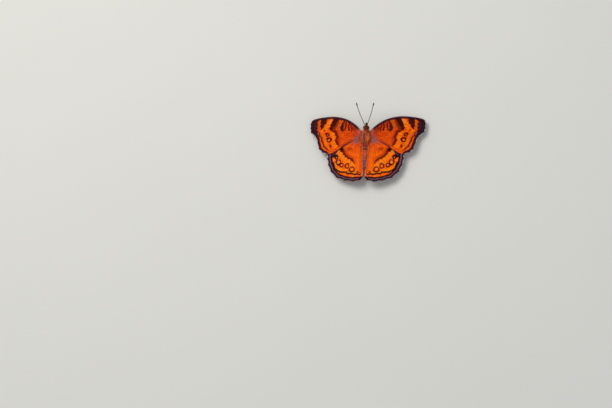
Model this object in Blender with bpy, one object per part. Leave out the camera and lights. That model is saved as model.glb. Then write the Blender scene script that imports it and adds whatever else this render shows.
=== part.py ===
"""Brown pansy butterfly, life size, basking with its four wings spread and slightly drooped.

The head points to +Y and the right wings to +X. Sizes are in millimetres, measured from the hinge
line of the wings at the middle of the body, and are turned into metres when a mesh is made. The
model stands on the flat soles of four feet at z = 0, with its box centred on the origin.
"""
import math

import bmesh
import bpy
from mathutils import Vector
from mathutils.geometry import delaunay_2d_cdt

# Whole animal
MM = 0.001
HINGE_HEIGHT = 6.0          # wing hinge above the floor
GAP = 0.32                  # air between a piece and what it grows from
CENTRE_Y = 3.85             # moves the middle of the length onto the origin

# Thorax, a barrel along Y with upright flanks for the wing roots and a flat underside for the legs
THORAX_FRONT = 3.2
THORAX_REAR = -3.6
THORAX_WIDEST_Y = -0.3
THORAX_REACH = 3.75
THORAX_HALF_WIDTH = 2.0
THORAX_TOP = 1.6
THORAX_BOTTOM = 2.6
FLANK_HALF_HEIGHT = 1.0
FLANK_REACH = 2.3           # how far fore and aft of the hinge the flanks stay upright
THORAX_RINGS = 18
THORAX_SEAMS = (2.15, -2.15)  # between its three segments
SEAM_HALF_WIDTH = 0.45
SEAM_DEPTH = 0.07

# Head, eyes, palps, proboscis and antennae
HEAD_REAR = THORAX_FRONT + GAP
HEAD_FRONT = 5.3
HEAD_HALF_WIDTH = 0.68
HEAD_CENTRE_Z = -0.25
HEAD_HALF_HEIGHT = 1.2
EYE_CENTRE_Y = 4.35
EYE_HALF_LENGTH = 0.8
EYE_HALF_HEIGHT = 0.95
EYE_BULGE = 0.62
FACE_PIECES_Y = HEAD_FRONT + GAP
ANTENNA_BASE_X = 0.36
ANTENNA_BASE_Z = 0.42
ANTENNA_TIP = (4.27, 14.8, 5.7)
ANTENNA_BOW = (0.25, -0.15, 0.25)
ANTENNA_RADIUS = 0.25
CLUB_RADIUS = 0.42
CLUB_LENGTH = 2.4
PALP_X = 0.46
PALP_RADIUS = 0.29
PALP_TIP_Y = 6.45
PROBOSCIS_RADIUS = 0.25
PROBOSCIS_COIL = 0.44
PROBOSCIS_TURN = 200

# Abdomen
ABDOMEN_FRONT = THORAX_REAR - GAP
ABDOMEN_REAR = -15.7
ABDOMEN_HALF_WIDTH = 1.2
ABDOMEN_HALF_HEIGHT = 1.3
ABDOMEN_DROP_FRONT = -0.5
ABDOMEN_DROP_REAR = -1.5
ABDOMEN_SEGMENTS = 8

# Wings: flat on a plane that droops away from the hinge, the forewing a layer above the hindwing
HINGE_X = 2.0
DROOP = math.radians(-9.0)
CAMBER = 0.5
CAMBER_SPAN = 26.0
WING_THICKNESS = 0.52
LAYER = 0.55
VEIN_HEIGHT = 0.14          # ridge over the membrane, on both faces
VEIN_HALF_WIDTH = 0.25
VEIN_STEP = 1.5             # between points along a vein
SPACING = 2.4               # between loose points inside the membrane

# Legs
FORELEG_Y = 2.0
COXA_X = 0.6
COXA_RADIUS = 0.34
FEMUR_RADIUS = 0.32
TIBIA_RADIUS = 0.27
TARSUS_RADIUS = 0.29
TARSUS_WAIST = 0.25
TARSUS_SEGMENTS = 5
SOLE_HEIGHT = -HINGE_HEIGHT + 0.2


def smooth_curve(points, step):
    """Points about one step apart on a smooth curve through the given ones."""
    through = [Vector(p) for p in points]
    ends = [through[0] * 2 - through[1]] + through + [through[-1] * 2 - through[-2]]
    curve = []
    for before, start, end, after in zip(ends, ends[1:], ends[2:], ends[3:]):
        count = max(1, round((end - start).length / step))
        for i in range(count):
            t = i / count
            curve.append(0.5 * (2 * start + (end - before) * t
                                + (2 * before - 5 * start + 4 * end - after) * t ** 2
                                + (3 * start - before - 3 * end + after) * t ** 3))
    return curve + [through[-1]]


def mix(a, b, t):
    return a + (b - a) * t


def paint(name, colour, roughness):
    material = bpy.data.materials.new(name)
    material.use_nodes = True
    shader = material.node_tree.nodes["Principled BSDF"]
    shader.inputs["Base Color"].default_value = (*colour, 1.0)
    shader.inputs["Roughness"].default_value = roughness
    shader.inputs["Metallic"].default_value = 0.0
    return material


def add_node(name, points, faces, material):
    """One closed body from points in millimetres about the hinge."""
    bm = bmesh.new()
    for x, y, z in points:
        bm.verts.new(Vector((x, y + CENTRE_Y, z + HINGE_HEIGHT)) * MM)
    bm.verts.ensure_lookup_table()
    for face in faces:
        bm.faces.new([bm.verts[i] for i in face])
    bmesh.ops.triangulate(bm, faces=bm.faces)
    bmesh.ops.recalc_face_normals(bm, faces=bm.faces)
    mesh = bpy.data.meshes.new(name)
    bm.to_mesh(mesh)
    bm.free()
    mesh.materials.append(material)
    mesh.shade_smooth()
    mesh.set_sharp_from_angle(angle=math.radians(28))
    piece = bpy.data.objects.new(name, mesh)
    bpy.context.collection.objects.link(piece)
    return piece


def skin_rings(rings):
    """Points and faces of a skin over rings of equal count, closed by a flat face at each end."""
    count = len(rings[0])
    points = [p for ring in rings for p in ring]
    faces = [list(range(count))[::-1], [len(points) - count + i for i in range(count)]]
    for r in range(len(rings) - 1):
        for i in range(count):
            a = r * count + i
            b = r * count + (i + 1) % count
            faces.append([a, b, b + count, a + count])
    return points, faces


def barrel_ring(y, half_width, centre_z, top, bottom, flank):
    """Ring across Y with upright flanks, a round back and a flat underside."""
    ring = []
    for step in range(9):
        a = math.radians(180 * step / 8)
        ring.append((half_width * math.cos(a), y, centre_z + flank + (top - flank) * math.sin(a)))
    for step in range(8, -1, -1):
        a = math.radians(180 * step / 8)
        depth = min(1.0, math.sin(a) / math.sin(math.radians(60)))
        if step != 4:
            ring.append((half_width * math.cos(a), y, centre_z - flank - (bottom - flank) * depth))
    return ring


def oval_ring(y, half_width, centre_z, half_height, count=14):
    turn = [2 * math.pi * (i + 0.5) / count for i in range(count)]
    return [(half_width * math.cos(a), y, centre_z + half_height * math.sin(a)) for a in turn]


def tube(path, radii, sides=6, first_normal=None, floor=None):
    """Rings along a path, each square to it; points under the floor are raised to it."""
    path = [Vector(p) for p in path]
    rings = []
    up = Vector((0, 0, 1))
    for i, centre in enumerate(path):
        before = path[max(i - 1, 0)]
        after = path[min(i + 1, len(path) - 1)]
        along = (after - before).normalized()
        if i == 0 and first_normal:
            along = Vector(first_normal)
        side = along.cross(up)
        if side.length < 0.2:
            side = along.cross(Vector((0, -1, 0)))
        side.normalize()
        up = side.cross(along).normalized()
        ring = []
        for k in range(sides):
            a = 2 * math.pi * (k + 0.5) / sides
            point = centre + radii[i] * (side * math.cos(a) + up * math.sin(a))
            if floor is not None:
                point.z = max(point.z, floor)
            ring.append(tuple(point))
        rings.append(ring)
    return rings


def both_sides(name, points, faces, material):
    """The piece on the right as given, and its mirror image on the left."""
    add_node(f"{name}_right", points, faces, material)
    add_node(f"{name}_left", [(-x, y, z) for x, y, z in points], faces, material)


def thorax_swell(y):
    """Share of the full girth at a place along the thorax."""
    return (1 - abs((y - THORAX_WIDEST_Y) / THORAX_REACH) ** 3) ** 0.4545


def thorax_half_width(y):
    return THORAX_HALF_WIDTH * thorax_swell(y)


def thorax_underside(y):
    return -THORAX_BOTTOM * thorax_swell(y)


def thorax_back(y):
    """Height of the back over the hinge line, a little lower at the seams between segments."""
    seam = max(0.0, *(1 - abs(y - place) / SEAM_HALF_WIDTH for place in THORAX_SEAMS))
    return THORAX_TOP * thorax_swell(y) * (1 - SEAM_DEPTH * seam)


def make_thorax():
    rings = []
    for i in range(THORAX_RINGS):
        y = mix(THORAX_REAR, THORAX_FRONT, i / (THORAX_RINGS - 1))
        rounding = max(0.0, abs(y) - FLANK_REACH) / (THORAX_REACH - FLANK_REACH)
        flank = min(FLANK_HALF_HEIGHT, 0.7 * thorax_back(y)) * (1 - 0.7 * rounding)
        rings.append(barrel_ring(y, thorax_half_width(y), 0.0, thorax_back(y),
                                 -thorax_underside(y), flank))
    add_node("thorax", *skin_rings(rings), paint("thorax", (0.16, 0.06, 0.03), 0.8))


def make_head():
    rings = []
    for part, width, height in ((0, 0.72, 0.58), (0.12, 0.9, 0.78), (0.3, 1, 0.93), (0.5, 1, 1),
                                (0.7, 1, 0.99), (0.88, 0.97, 0.93), (1, 0.88, 0.8)):
        y = mix(HEAD_REAR, HEAD_FRONT, part)
        half_height = HEAD_HALF_HEIGHT * height
        rings.append(barrel_ring(y, HEAD_HALF_WIDTH * width, HEAD_CENTRE_Z, half_height,
                                 half_height, 0.55 * half_height))
    add_node("head", *skin_rings(rings), paint("head", (0.09, 0.03, 0.03), 0.8))


def make_eyes():
    """Each eye is a dome with its flat base beside the flat cheek of the head."""
    rings = []
    for degrees in (0, 18, 36, 54, 70, 83):
        a = math.radians(degrees)
        x = HEAD_HALF_WIDTH + GAP + EYE_BULGE * math.sin(a)
        ring = []
        for k in range(18):
            turn = 2 * math.pi * k / 18
            ring.append((x, EYE_CENTRE_Y + EYE_HALF_LENGTH * math.cos(a) * math.cos(turn),
                         HEAD_CENTRE_Z + EYE_HALF_HEIGHT * math.cos(a) * math.sin(turn)))
        rings.append(ring)
    both_sides("eye", *skin_rings(rings), paint("eye", (0.03, 0.015, 0.012), 0.2))


def make_antennae():
    """A thin shaft that thickens over its last quarter into a club with a rounded tip."""
    base = Vector((ANTENNA_BASE_X, FACE_PIECES_Y, ANTENNA_BASE_Z))
    tip = Vector(ANTENNA_TIP)
    path = smooth_curve((base, base.lerp(tip, 0.5) + Vector(ANTENNA_BOW), tip), 0.7)
    shaft = 1 - CLUB_LENGTH / (tip - base).length
    radii = []
    for i in range(len(path)):
        along_club = max(0.0, (i / (len(path) - 1) - shaft) / (1 - shaft))
        full = math.sin(0.5 * math.pi * min(1.0, along_club / 0.7))
        rounding = math.sqrt(max(0.0, 1 - max(0.0, (along_club - 0.8) / 0.24) ** 2))
        radii.append(mix(ANTENNA_RADIUS, CLUB_RADIUS, full) * rounding)
    rings = tube(path, radii, first_normal=(0, 1, 0))
    both_sides("antenna", *skin_rings(rings), paint("antenna", (0.05, 0.04, 0.02), 0.6))


def make_palps():
    """Each palp rises in front of the face from its lower half."""
    path = smooth_curve(((PALP_X, FACE_PIECES_Y, -0.85), (PALP_X, FACE_PIECES_Y + 0.42, -0.72),
                         (PALP_X - 0.04, PALP_TIP_Y - 0.15, -0.25),
                         (PALP_X - 0.1, PALP_TIP_Y, 0.28)), 0.2)
    radii = []
    for i in range(len(path)):
        t = i / (len(path) - 1)
        radii.append(PALP_RADIUS * (0.92 + 0.08 * math.sin(math.pi * t)) * (1 - 0.6 * t ** 4))
    rings = tube(path, radii, sides=8, first_normal=(0, 1, 0))
    both_sides("palp", *skin_rings(rings), paint("palp", (0.12, 0.05, 0.03), 0.85))


def make_proboscis():
    """The tongue curls forward under the head in less than one turn."""
    top = HEAD_CENTRE_Z - HEAD_HALF_HEIGHT - GAP
    centre_y = HEAD_FRONT - 0.45
    path = [(0, centre_y - PROBOSCIS_COIL, top)]
    for degrees in range(180, 181 + PROBOSCIS_TURN, 20):
        a = math.radians(degrees)
        path.append((0, centre_y + PROBOSCIS_COIL * math.cos(a),
                     top - 0.3 + PROBOSCIS_COIL * math.sin(a)))
    rings = tube(path, [PROBOSCIS_RADIUS] * len(path), first_normal=(0, 0, -1))
    add_node("proboscis", *skin_rings(rings), paint("proboscis", (0.10, 0.05, 0.02), 0.5))


def abdomen_half_width(y):
    """Girth along the abdomen: a short waist, a full middle and a taper to the tip."""
    t = (ABDOMEN_FRONT - y) / (ABDOMEN_FRONT - ABDOMEN_REAR)
    t = min(max(t, 0.0), 1.0)
    waist = 0.86 + 0.14 * math.sin(0.5 * math.pi * min(1.0, t / 0.25))
    taper = 1.0 - 0.68 * max(0.0, (t - 0.35) / 0.65) ** 1.8
    return ABDOMEN_HALF_WIDTH * waist * taper


def make_abdomen():
    """Eight plates in a row, each a little narrower at its front edge, where the last one laps it."""
    rings = []
    for segment in range(ABDOMEN_SEGMENTS):
        for part, girth in ((0.0, 0.93), (0.2, 1.0), (0.88, 1.0)):
            t = (segment + part) / ABDOMEN_SEGMENTS
            y = mix(ABDOMEN_FRONT, ABDOMEN_REAR, t)
            half_width = girth * abdomen_half_width(y)
            height = half_width * ABDOMEN_HALF_HEIGHT / ABDOMEN_HALF_WIDTH
            rings.append(oval_ring(y, half_width, mix(ABDOMEN_DROP_FRONT, ABDOMEN_DROP_REAR, t), height))
    add_node("abdomen", *skin_rings(rings), paint("abdomen", (0.28, 0.12, 0.08), 0.8))


def inside(point, outline):
    """Whether a flat point lies within a closed outline."""
    x, y = point
    within = False
    for a, b in zip(outline, outline[1:] + outline[:1]):
        if (a[1] > y) != (b[1] > y) and x < a[0] + (y - a[1]) * (b[0] - a[0]) / (b[1] - a[1]):
            within = not within
    return within


def distance_to_line(point, line):
    """Shortest distance from a flat point to a chain of straight runs."""
    best = 1e9
    p = Vector(point)
    for a, b in zip(line, line[1:]):
        a, b = Vector(a), Vector(b)
        run = b - a
        t = min(max((p - a).dot(run) / max(run.length_squared, 1e-9), 0.0), 1.0)
        best = min(best, (p - a - run * t).length)
    return best


def beside(line, distance):
    """A line alongside another, ending short of its tip."""
    offset = []
    for before, here, after in zip(line, line[1:], line[2:]):
        along = (after - before).normalized()
        offset.append(here + Vector((-along.y, along.x)) * distance)
    return offset


def membrane_points(outline, lines):
    """Loose points in staggered rows, clear of the margin and of the veins."""
    closed = outline + outline[:1]
    low_x, high_x = min(p[0] for p in outline), max(p[0] for p in outline)
    low_y, high_y = min(p[1] for p in outline), max(p[1] for p in outline)
    row_step = SPACING * math.sin(math.radians(60))
    points = []
    for row in range(int((high_y - low_y) / row_step) + 1):
        for column in range(int((high_x - low_x) / SPACING) + 1):
            point = (low_x + (column + 0.5 * (row % 2)) * SPACING, low_y + row * row_step)
            clear = min([distance_to_line(point, line) for line in [closed] + lines])
            if inside(point, outline) and clear > 0.4 * SPACING:
                points.append(Vector(point))
    return points


def wing_solid(outline, veins, layer):
    """A thin body with veins as ridges, whose two faces are split into the same triangles."""
    flat = [Vector(p) for p in outline]
    edges = [(i, (i + 1) % len(flat)) for i in range(len(flat))]
    rim_face = list(range(len(flat)))
    centres = [smooth_curve(vein, VEIN_STEP) for vein in veins]
    for centre in centres:
        for line in (centre, beside(centre, VEIN_HALF_WIDTH), beside(centre, -VEIN_HALF_WIDTH)):
            edges += [(len(flat) + i, len(flat) + i + 1) for i in range(len(line) - 1)]
            flat += line
    flat += membrane_points(outline, centres)
    spots, _, triangles, *_ = delaunay_2d_cdt(flat, edges, [rim_face], 1, 0.03)
    used = {(a, b) for t in triangles for a, b in zip(t, t[1:] + t[:1])}
    rim = sorted((a, b) for a, b in used if (b, a) not in used)
    points = []
    for side in (1, -1):
        for x, y in spots:
            out = x - HINGE_X
            arch = CAMBER * math.cos(math.pi * (y + 6) / 34) * out / CAMBER_SPAN
            nearest = min(distance_to_line((x, y), centre) for centre in centres)
            ridge = VEIN_HEIGHT * max(0.0, 1 - nearest / VEIN_HALF_WIDTH)
            height = out * math.sin(DROOP) + arch + layer + side * (WING_THICKNESS / 2 + ridge)
            points.append((HINGE_X + out * math.cos(DROOP), y, height))
    below = len(spots)
    faces = [list(t) for t in triangles] + [[i + below for i in t[::-1]] for t in triangles]
    for a, b in rim:
        faces.append([b, a, a + below])
        faces.append([b, a + below, b + below])
    return points, faces


def root_edge(front_y, rear_y):
    """The wing's base, which follows the flank of the thorax from front to rear."""
    line = []
    for i in range(4):
        y = mix(front_y, rear_y, i / 3)
        line.append((thorax_half_width(y) + GAP, y))
    return line


def scalloped(tips, depth):
    """The outer margin through the vein tips, drawn in a little between each two."""
    line = []
    for a, b in zip(tips, tips[1:]):
        a, b = Vector(a), Vector(b)
        inward = Vector(((b - a).y, -(b - a).x)).normalized()
        for t in (0.0, 1 / 3, 2 / 3):
            line.append(tuple(a.lerp(b, t) + inward * depth * math.sin(math.pi * t)))
    return line + [tuple(tips[-1])]


FORE_ROOT = (2.1, 0.2)
FORE_COSTA = ((5.2, 5.75), (10.0, 8.8), (16.0, 10.35), (22.0, 10.3), (26.3, 9.35))
FORE_TIPS = {"R4": (27.8, 8.4), "R5": (28.25, 7.0), "M1": (28.2, 5.0), "M2": (27.85, 2.9),
             "M3": (24.9, 0.3), "CuA1": (24.0, -2.7), "CuA2": (23.1, -5.8), "fold": (21.3, -7.4),
             "2A": (18.9, -8.2)}
FORE_DORSUM = ((16.4, -7.8), (9.9, -4.2), (5.0, -1.5))
FORE_CELL_END = ((12.2, 6.5), (12.6, 4.7), (12.4, 2.8), (11.4, 1.7))
FORE_VEINS = {"R5": ((3.0, 1.9), (7.2, 4.7), FORE_CELL_END[0], (20.5, 7.8)),
              "M1": (FORE_CELL_END[0], (20.5, 6.3)),
              "M2": (FORE_CELL_END[1], (20.5, 4.5)),
              "M3": (FORE_CELL_END[2], (19.2, 2.3)),
              "CuA1": ((3.0, 1.1), (6.5, 1.5), FORE_CELL_END[3], (18.2, 0.0)),
              "CuA2": ((8.4, 1.65), (13.0, -0.9), (18.2, -3.2)),
              "2A": ((3.1, 0.3), (9.0, -2.3), (14.5, -5.6))}
FORE_SUBCOSTA = ((3.3, 3.0), (8.0, 6.7), (13.0, 9.1), (17.5, 9.9))
HIND_ROOT = (0.0, -2.0)
HIND_COSTA = ((6.0, 0.3), (10.0, -0.8), (14.0, -3.0), (17.3, -6.0))
HIND_TIPS = {"Sc": (18.6, -8.6), "Rs": (18.75, -10.4), "M1": (18.1, -13.6), "M2": (16.6, -17.0),
             "M3": (13.4, -20.1), "CuA1": (9.2, -21.6), "CuA2": (5.2, -22.4), "2A": (1.9, -21.7)}
HIND_INNER_STEPS = 6
HIND_CELL_END = ((8.6, -6.3), (8.2, -7.6), (7.1, -8.5), (6.3, -8.2))
HIND_FORK = (7.0, -4.2)
HIND_CUBITAL_FORK = (4.6, -4.8)
HIND_VEINS = {"Sc": ((3.1, -0.5), (8.0, -2.0), (14.2, -5.6)),
              "Rs": ((3.1, -1.1), HIND_FORK, (12.8, -7.6)),
              "M1": (HIND_FORK, HIND_CELL_END[0], (13.5, -11.2)),
              "M2": (HIND_CELL_END[1], (12.1, -13.1)),
              "M3": (HIND_CELL_END[2], (9.9, -14.4)),
              "CuA1": ((3.0, -1.7), HIND_CUBITAL_FORK, HIND_CELL_END[3], (7.2, -15.4)),
              "CuA2": (HIND_CUBITAL_FORK, (4.2, -9.5), (4.2, -17.1)),
              "2A": ((2.75, -2.4), (2.6, -9.0), (2.2, -17.0))}


def forewing_outline():
    root = root_edge(*FORE_ROOT)
    costa = smooth_curve((root[0], *FORE_COSTA, FORE_TIPS["R4"]), 2.0)
    margin = scalloped(list(FORE_TIPS.values()), 0.12)
    dorsum = smooth_curve((FORE_TIPS["2A"], *FORE_DORSUM, root[-1]), 2.0)
    return [tuple(p) for p in costa[:-1] + margin[:-1] + dorsum[:-1] + root[:0:-1]]


def hindwing_outline():
    root = root_edge(*HIND_ROOT)
    costa = smooth_curve((root[0], *HIND_COSTA, HIND_TIPS["Sc"]), 2.0)
    margin = scalloped(list(HIND_TIPS.values()), 0.25)
    inner = [(1.0, -20.2)]
    for i in range(HIND_INNER_STEPS):
        y = mix(-18.0, -4.5, i / (HIND_INNER_STEPS - 1))
        inner.append((abdomen_half_width(y) + GAP + 0.1 + 0.25 * (1 + y / 18), y))
    return [tuple(p) for p in costa[:-1] + margin + inner + root[:0:-1]]


def vein_lines(veins, tips, others):
    """Each vein from its start to its tip on the margin, and the veins that end inside."""
    return [(*points, tips[name]) for name, points in veins.items()] + list(others)


def make_wings():
    fore_veins = vein_lines(FORE_VEINS, FORE_TIPS, (FORE_CELL_END, FORE_SUBCOSTA))
    both_sides("forewing", *wing_solid(forewing_outline(), fore_veins, LAYER),
               paint("forewing", (0.75, 0.20, 0.02), 0.7))
    hind_veins = vein_lines(HIND_VEINS, HIND_TIPS, (HIND_CELL_END,))
    both_sides("hindwing", *wing_solid(hindwing_outline(), hind_veins, -LAYER),
               paint("hindwing", (0.80, 0.26, 0.03), 0.7))


def make_leg(name, coxa_y, knee, ankle, toe, material):
    """A leg from its coxa under the thorax to five tarsal segments that lie on the floor."""
    top = Vector((COXA_X, coxa_y, thorax_underside(coxa_y) - GAP))
    knee, ankle, toe = Vector(knee), Vector(ankle), Vector(toe)
    hip = top + Vector((0.3, 0.1 * (knee.y - coxa_y), -0.6))
    chain = [(top, COXA_RADIUS), (top.lerp(hip, 0.6), COXA_RADIUS), (hip, FEMUR_RADIUS * 0.9)]
    chain += [(hip.lerp(knee, 0.35), FEMUR_RADIUS), (hip.lerp(knee, 0.9), FEMUR_RADIUS * 0.95)]
    chain += [(knee + Vector((0, 0, 0.05)), FEMUR_RADIUS * 0.95)]
    chain += [(knee.lerp(ankle, 0.12), TIBIA_RADIUS), (knee.lerp(ankle, 0.8), TIBIA_RADIUS)]
    chain += [(ankle, TARSUS_RADIUS)]
    for segment in range(TARSUS_SEGMENTS):
        for part, radius in ((0.25, TARSUS_WAIST), (0.85, TARSUS_RADIUS)):
            chain.append((ankle.lerp(toe, (segment + part) / TARSUS_SEGMENTS), radius))
    for i in range(9, len(chain)):
        chain[i] = (Vector((*chain[i][0].xy, SOLE_HEIGHT)), chain[i][1])
    chain.append((toe, 0.6 * TARSUS_RADIUS))
    rings = tube([p for p, _ in chain], [r for _, r in chain], first_normal=(0, 0, -1),
                 floor=-HINGE_HEIGHT)
    both_sides(name, *skin_rings(rings), material)


def make_foreleg(material):
    """The small foreleg has no foot and is folded forward under the breast."""
    top = Vector((COXA_X, FORELEG_Y, thorax_underside(FORELEG_Y) - GAP))
    path = smooth_curve((top, top + Vector((0.15, 0.35, -0.5)), top + Vector((0.25, 1.3, -0.2)),
                         top + Vector((0.3, 2.1, 0.15)), top + Vector((0.2, 2.6, -0.15))), 0.35)
    radii = [mix(0.3, 0.25, i / (len(path) - 1)) for i in range(len(path))]
    rings = tube(path, radii, first_normal=(0, 0, -1))
    both_sides("foreleg", *skin_rings(rings), material)


def make_legs():
    material = paint("leg", (0.20, 0.11, 0.05), 0.7)
    make_leg("midleg", 0.3, (4.1, 2.0, -2.75), (6.2, 3.3, SOLE_HEIGHT + 0.15),
             (8.6, 4.9, SOLE_HEIGHT), material)
    make_leg("hindleg", -1.7, (3.8, -4.6, -2.85), (5.4, -7.3, SOLE_HEIGHT + 0.15),
             (6.8, -9.8, SOLE_HEIGHT), material)
    make_foreleg(material)


def main():
    for old in list(bpy.data.objects):
        bpy.data.objects.remove(old, do_unlink=True)
    make_thorax()
    make_head()
    make_eyes()
    make_antennae()
    make_palps()
    make_proboscis()
    make_abdomen()
    make_wings()
    make_legs()


main()
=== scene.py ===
# %% [markdown]
# # A brown pansy butterfly
# The real animal is about 56 mm across: a hairy body, four thin wings covered in coloured scales, and
# thin legs and feelers. Plain solids of all its parts are already packed as a fixed frame. This
# notebook loads that frame, then makes the fine surface that stands for each solid.

# %% Load the frame
import math

import bmesh
import bpy
import numpy as np
from mathutils import Matrix, Vector, noise


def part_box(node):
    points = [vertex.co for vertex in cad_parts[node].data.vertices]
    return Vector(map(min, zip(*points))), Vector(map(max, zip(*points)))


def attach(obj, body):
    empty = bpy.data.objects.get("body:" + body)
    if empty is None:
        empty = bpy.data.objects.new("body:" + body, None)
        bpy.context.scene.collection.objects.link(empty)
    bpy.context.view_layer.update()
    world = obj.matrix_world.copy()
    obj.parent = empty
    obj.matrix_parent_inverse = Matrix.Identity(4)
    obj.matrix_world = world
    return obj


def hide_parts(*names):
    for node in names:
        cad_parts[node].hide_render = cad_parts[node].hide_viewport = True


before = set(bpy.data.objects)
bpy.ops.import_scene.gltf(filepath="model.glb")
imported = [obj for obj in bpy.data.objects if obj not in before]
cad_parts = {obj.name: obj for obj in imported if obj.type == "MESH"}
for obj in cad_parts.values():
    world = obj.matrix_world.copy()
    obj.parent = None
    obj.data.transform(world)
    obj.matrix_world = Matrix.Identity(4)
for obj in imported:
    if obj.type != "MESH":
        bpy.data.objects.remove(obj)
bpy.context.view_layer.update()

BODY = "root"
noise.seed_set(1)       # noise_vector draws its offsets from this seed

# %% [markdown]
# A butterfly's wings turn on a hinge line on each side of its thorax. Every size below is in
# millimetres from the middle of that line, with +X to the animal's right and +Y to its head. The
# thorax solid tells where the line is in the scene, so each piece lands on what carries it.

# %% The hinge
MM = 0.001
THORAX_REAR = -3.6
THORAX_BOTTOM = -2.6
thorax_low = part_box("thorax")[0]
HINGE = Vector((0.0, thorax_low[1] - THORAX_REAR * MM, thorax_low[2] - THORAX_BOTTOM * MM))
FLOOR = -HINGE.z / MM


def to_scene(points):
    """Millimetres from the hinge, as an array, to metres in the scene."""
    return np.asarray(points, dtype=float) * MM + np.array(HINGE)


print("hinge", [round(v, 5) for v in HINGE], "floor at", round(FLOOR, 2), "mm")

# %% [markdown]
# The picture was taken from high above and a little behind the animal, with its body turned and
# tilted in the frame. Three turns take the animal's axes to the camera's, and two offsets say how far
# the hinge is from the middle of the picture. A lens of 100 mm keeps the wings nearly undistorted.

# %% Camera
TURN, TILT, LEAN = (math.radians(a) for a in (-3.82, -14.88, -13.63))
LENS, SENSOR = 100.0, 36.0
PICTURE_WIDTH = 0.2914
HINGE_RIGHT, HINGE_UP = 0.02838, 0.03238


def add_object(name, data):
    """A new object in the scene."""
    made = bpy.data.objects.new(name, data)
    bpy.context.scene.collection.objects.link(made)
    return made


def make_camera():
    data = bpy.data.cameras.new("camera")
    data.lens, data.sensor_width, data.clip_start = LENS, SENSOR, 0.01
    camera = add_object("camera", data)
    to_camera = (Matrix.Rotation(TURN, 3, "Z") @ Matrix.Rotation(TILT, 3, "X")
                 @ Matrix.Rotation(LEAN, 3, "Y"))
    right, up, back = to_camera
    place = HINGE - right * HINGE_RIGHT - up * HINGE_UP + back * PICTURE_WIDTH * LENS / SENSOR
    camera.matrix_world = Matrix.Translation(place) @ to_camera.transposed().to_4x4()
    bpy.context.scene.camera = camera
    return camera


camera = make_camera()
print("camera at", [round(v, 3) for v in camera.location])

# %% [markdown]
# Colours are easiest to choose as screen values from 0 to 255. Blender's shaders want linear light,
# so one function turns the first into the second.

# %% Colours
def shade(red, green, blue):
    """A screen colour as linear light."""
    c = np.array((red, green, blue)) / 255.0
    return np.where(c > 0.04045, ((c + 0.055) / 1.055) ** 2.4, c / 12.92)


RUST = shade(208, 56, 3)
ORANGE = shade(242, 86, 2)
FLAME = shade(255, 98, 2)
BRIGHT = shade(252, 114, 3)
GLOW = shade(255, 130, 24)
AMBER = shade(255, 130, 10)
TAN = shade(204, 82, 12)
PEACH = shade(248, 152, 84)
BRICK = shade(164, 34, 4)
MAROON = shade(108, 13, 4)
GARNET = shade(64, 7, 8)
DARK = shade(25, 3, 6)
UMBER = shade(38, 12, 20)
VIOLET = shade(80, 44, 68)
LILAC = shade(134, 96, 116)
MAUVE = shade(174, 100, 94)
WHITE = shade(214, 198, 220)
print("orange in linear light", ORANGE.round(3))

# %% [markdown]
# Most outlines here are a few named points joined by a smooth curve, and most colours are laid on by
# how far a point is from such a curve. Four small functions do that for whole arrays of points at once.

# %% Curves
def smooth_curve(points, step):
    """Points about one step apart on a smooth curve through the given ones."""
    through = np.asarray(points, dtype=float)
    ends = np.vstack((2 * through[0] - through[1], through, 2 * through[-1] - through[-2]))
    curve = []
    for before, start, end, after in zip(ends, ends[1:], ends[2:], ends[3:]):
        count = max(1, round(float(np.linalg.norm((end - start)[:2])) / step))
        t = (np.arange(count) / count)[:, None]
        curve.append(0.5 * (2 * start + (end - before) * t
                            + (2 * before - 5 * start + 4 * end - after) * t ** 2
                            + (3 * start - before - 3 * end + after) * t ** 3))
    return np.vstack((*curve, through[-1:]))


def along(curve, share):
    """Points at given shares of a curve's length."""
    runs = np.linalg.norm(np.diff(curve[:, :2], axis=0), axis=1)
    travel = np.concatenate(([0.0], np.cumsum(runs)))
    travel /= travel[-1]
    return np.stack([np.interp(share, travel, curve[:, k]) for k in range(curve.shape[1])], axis=1)


def nearest(at, line):
    """Distance from each flat point to a line, and the line's further values at that place."""
    best = np.full(len(at), 1e9)
    values = np.zeros((len(at), line.shape[1] - 2))
    for a, b in zip(line, line[1:]):
        run = b[:2] - a[:2]
        t = np.clip((at - a[:2]) @ run / max(float(run @ run), 1e-9), 0.0, 1.0)
        distance = np.linalg.norm(at - a[:2] - t[:, None] * run, axis=1)
        closer = distance < best
        best[closer] = distance[closer]
        values[closer] = a[2:] + t[closer, None] * (b[2:] - a[2:])
    return best, values


def soft_step(x):
    x = np.clip(x, 0.0, 1.0)
    return x * x * (3 - 2 * x)

# %% [markdown]
# Colour is painted point by point into the mesh, as an artist would, from the ground colour up: a band
# is a line with a half width at each of its points, and a spot is an oval. Each mask has a soft edge.
# An image could hold the same markings, but points keep them exact at any distance.

# %% Masks of colour
def lay(tint, mask, colour):
    tint += (colour - tint) * np.clip(mask, 0, 1)[:, None]


def band(at, points, soft=0.3):
    """Mask of a line whose points are (x, y, half width)."""
    distance, values = nearest(at, smooth_curve(points, 0.5))
    return soft_step((values[:, 0] - distance) / soft + 0.5)


def spot(at, centre, radii, soft=0.3, turn=0.0):
    """Mask of an oval, turned by some degrees."""
    c, s = math.cos(math.radians(turn)), math.sin(math.radians(turn))
    x, y = (at - centre).T
    reach = np.hypot((x * c + y * s) / radii[0], (y * c - x * s) / radii[1])
    return soft_step((1 - reach) * min(radii) / soft + 0.5)

# %% [markdown]
# Each finished mesh becomes one object that hides the solids it stands for, hangs from the body that
# carries it and has its finish. Colours are stored as attributes of its points.

# %% Finished pieces
SIDES = (("right", 1), ("left", -1))


def put_attribute(mesh, name, kind, values):
    layer = mesh.attributes.new(name, kind, "POINT")
    field = "color" if kind == "FLOAT_COLOR" else "vector"
    layer.data.foreach_set(field, np.ascontiguousarray(values, dtype=np.float32).ravel())


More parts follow.
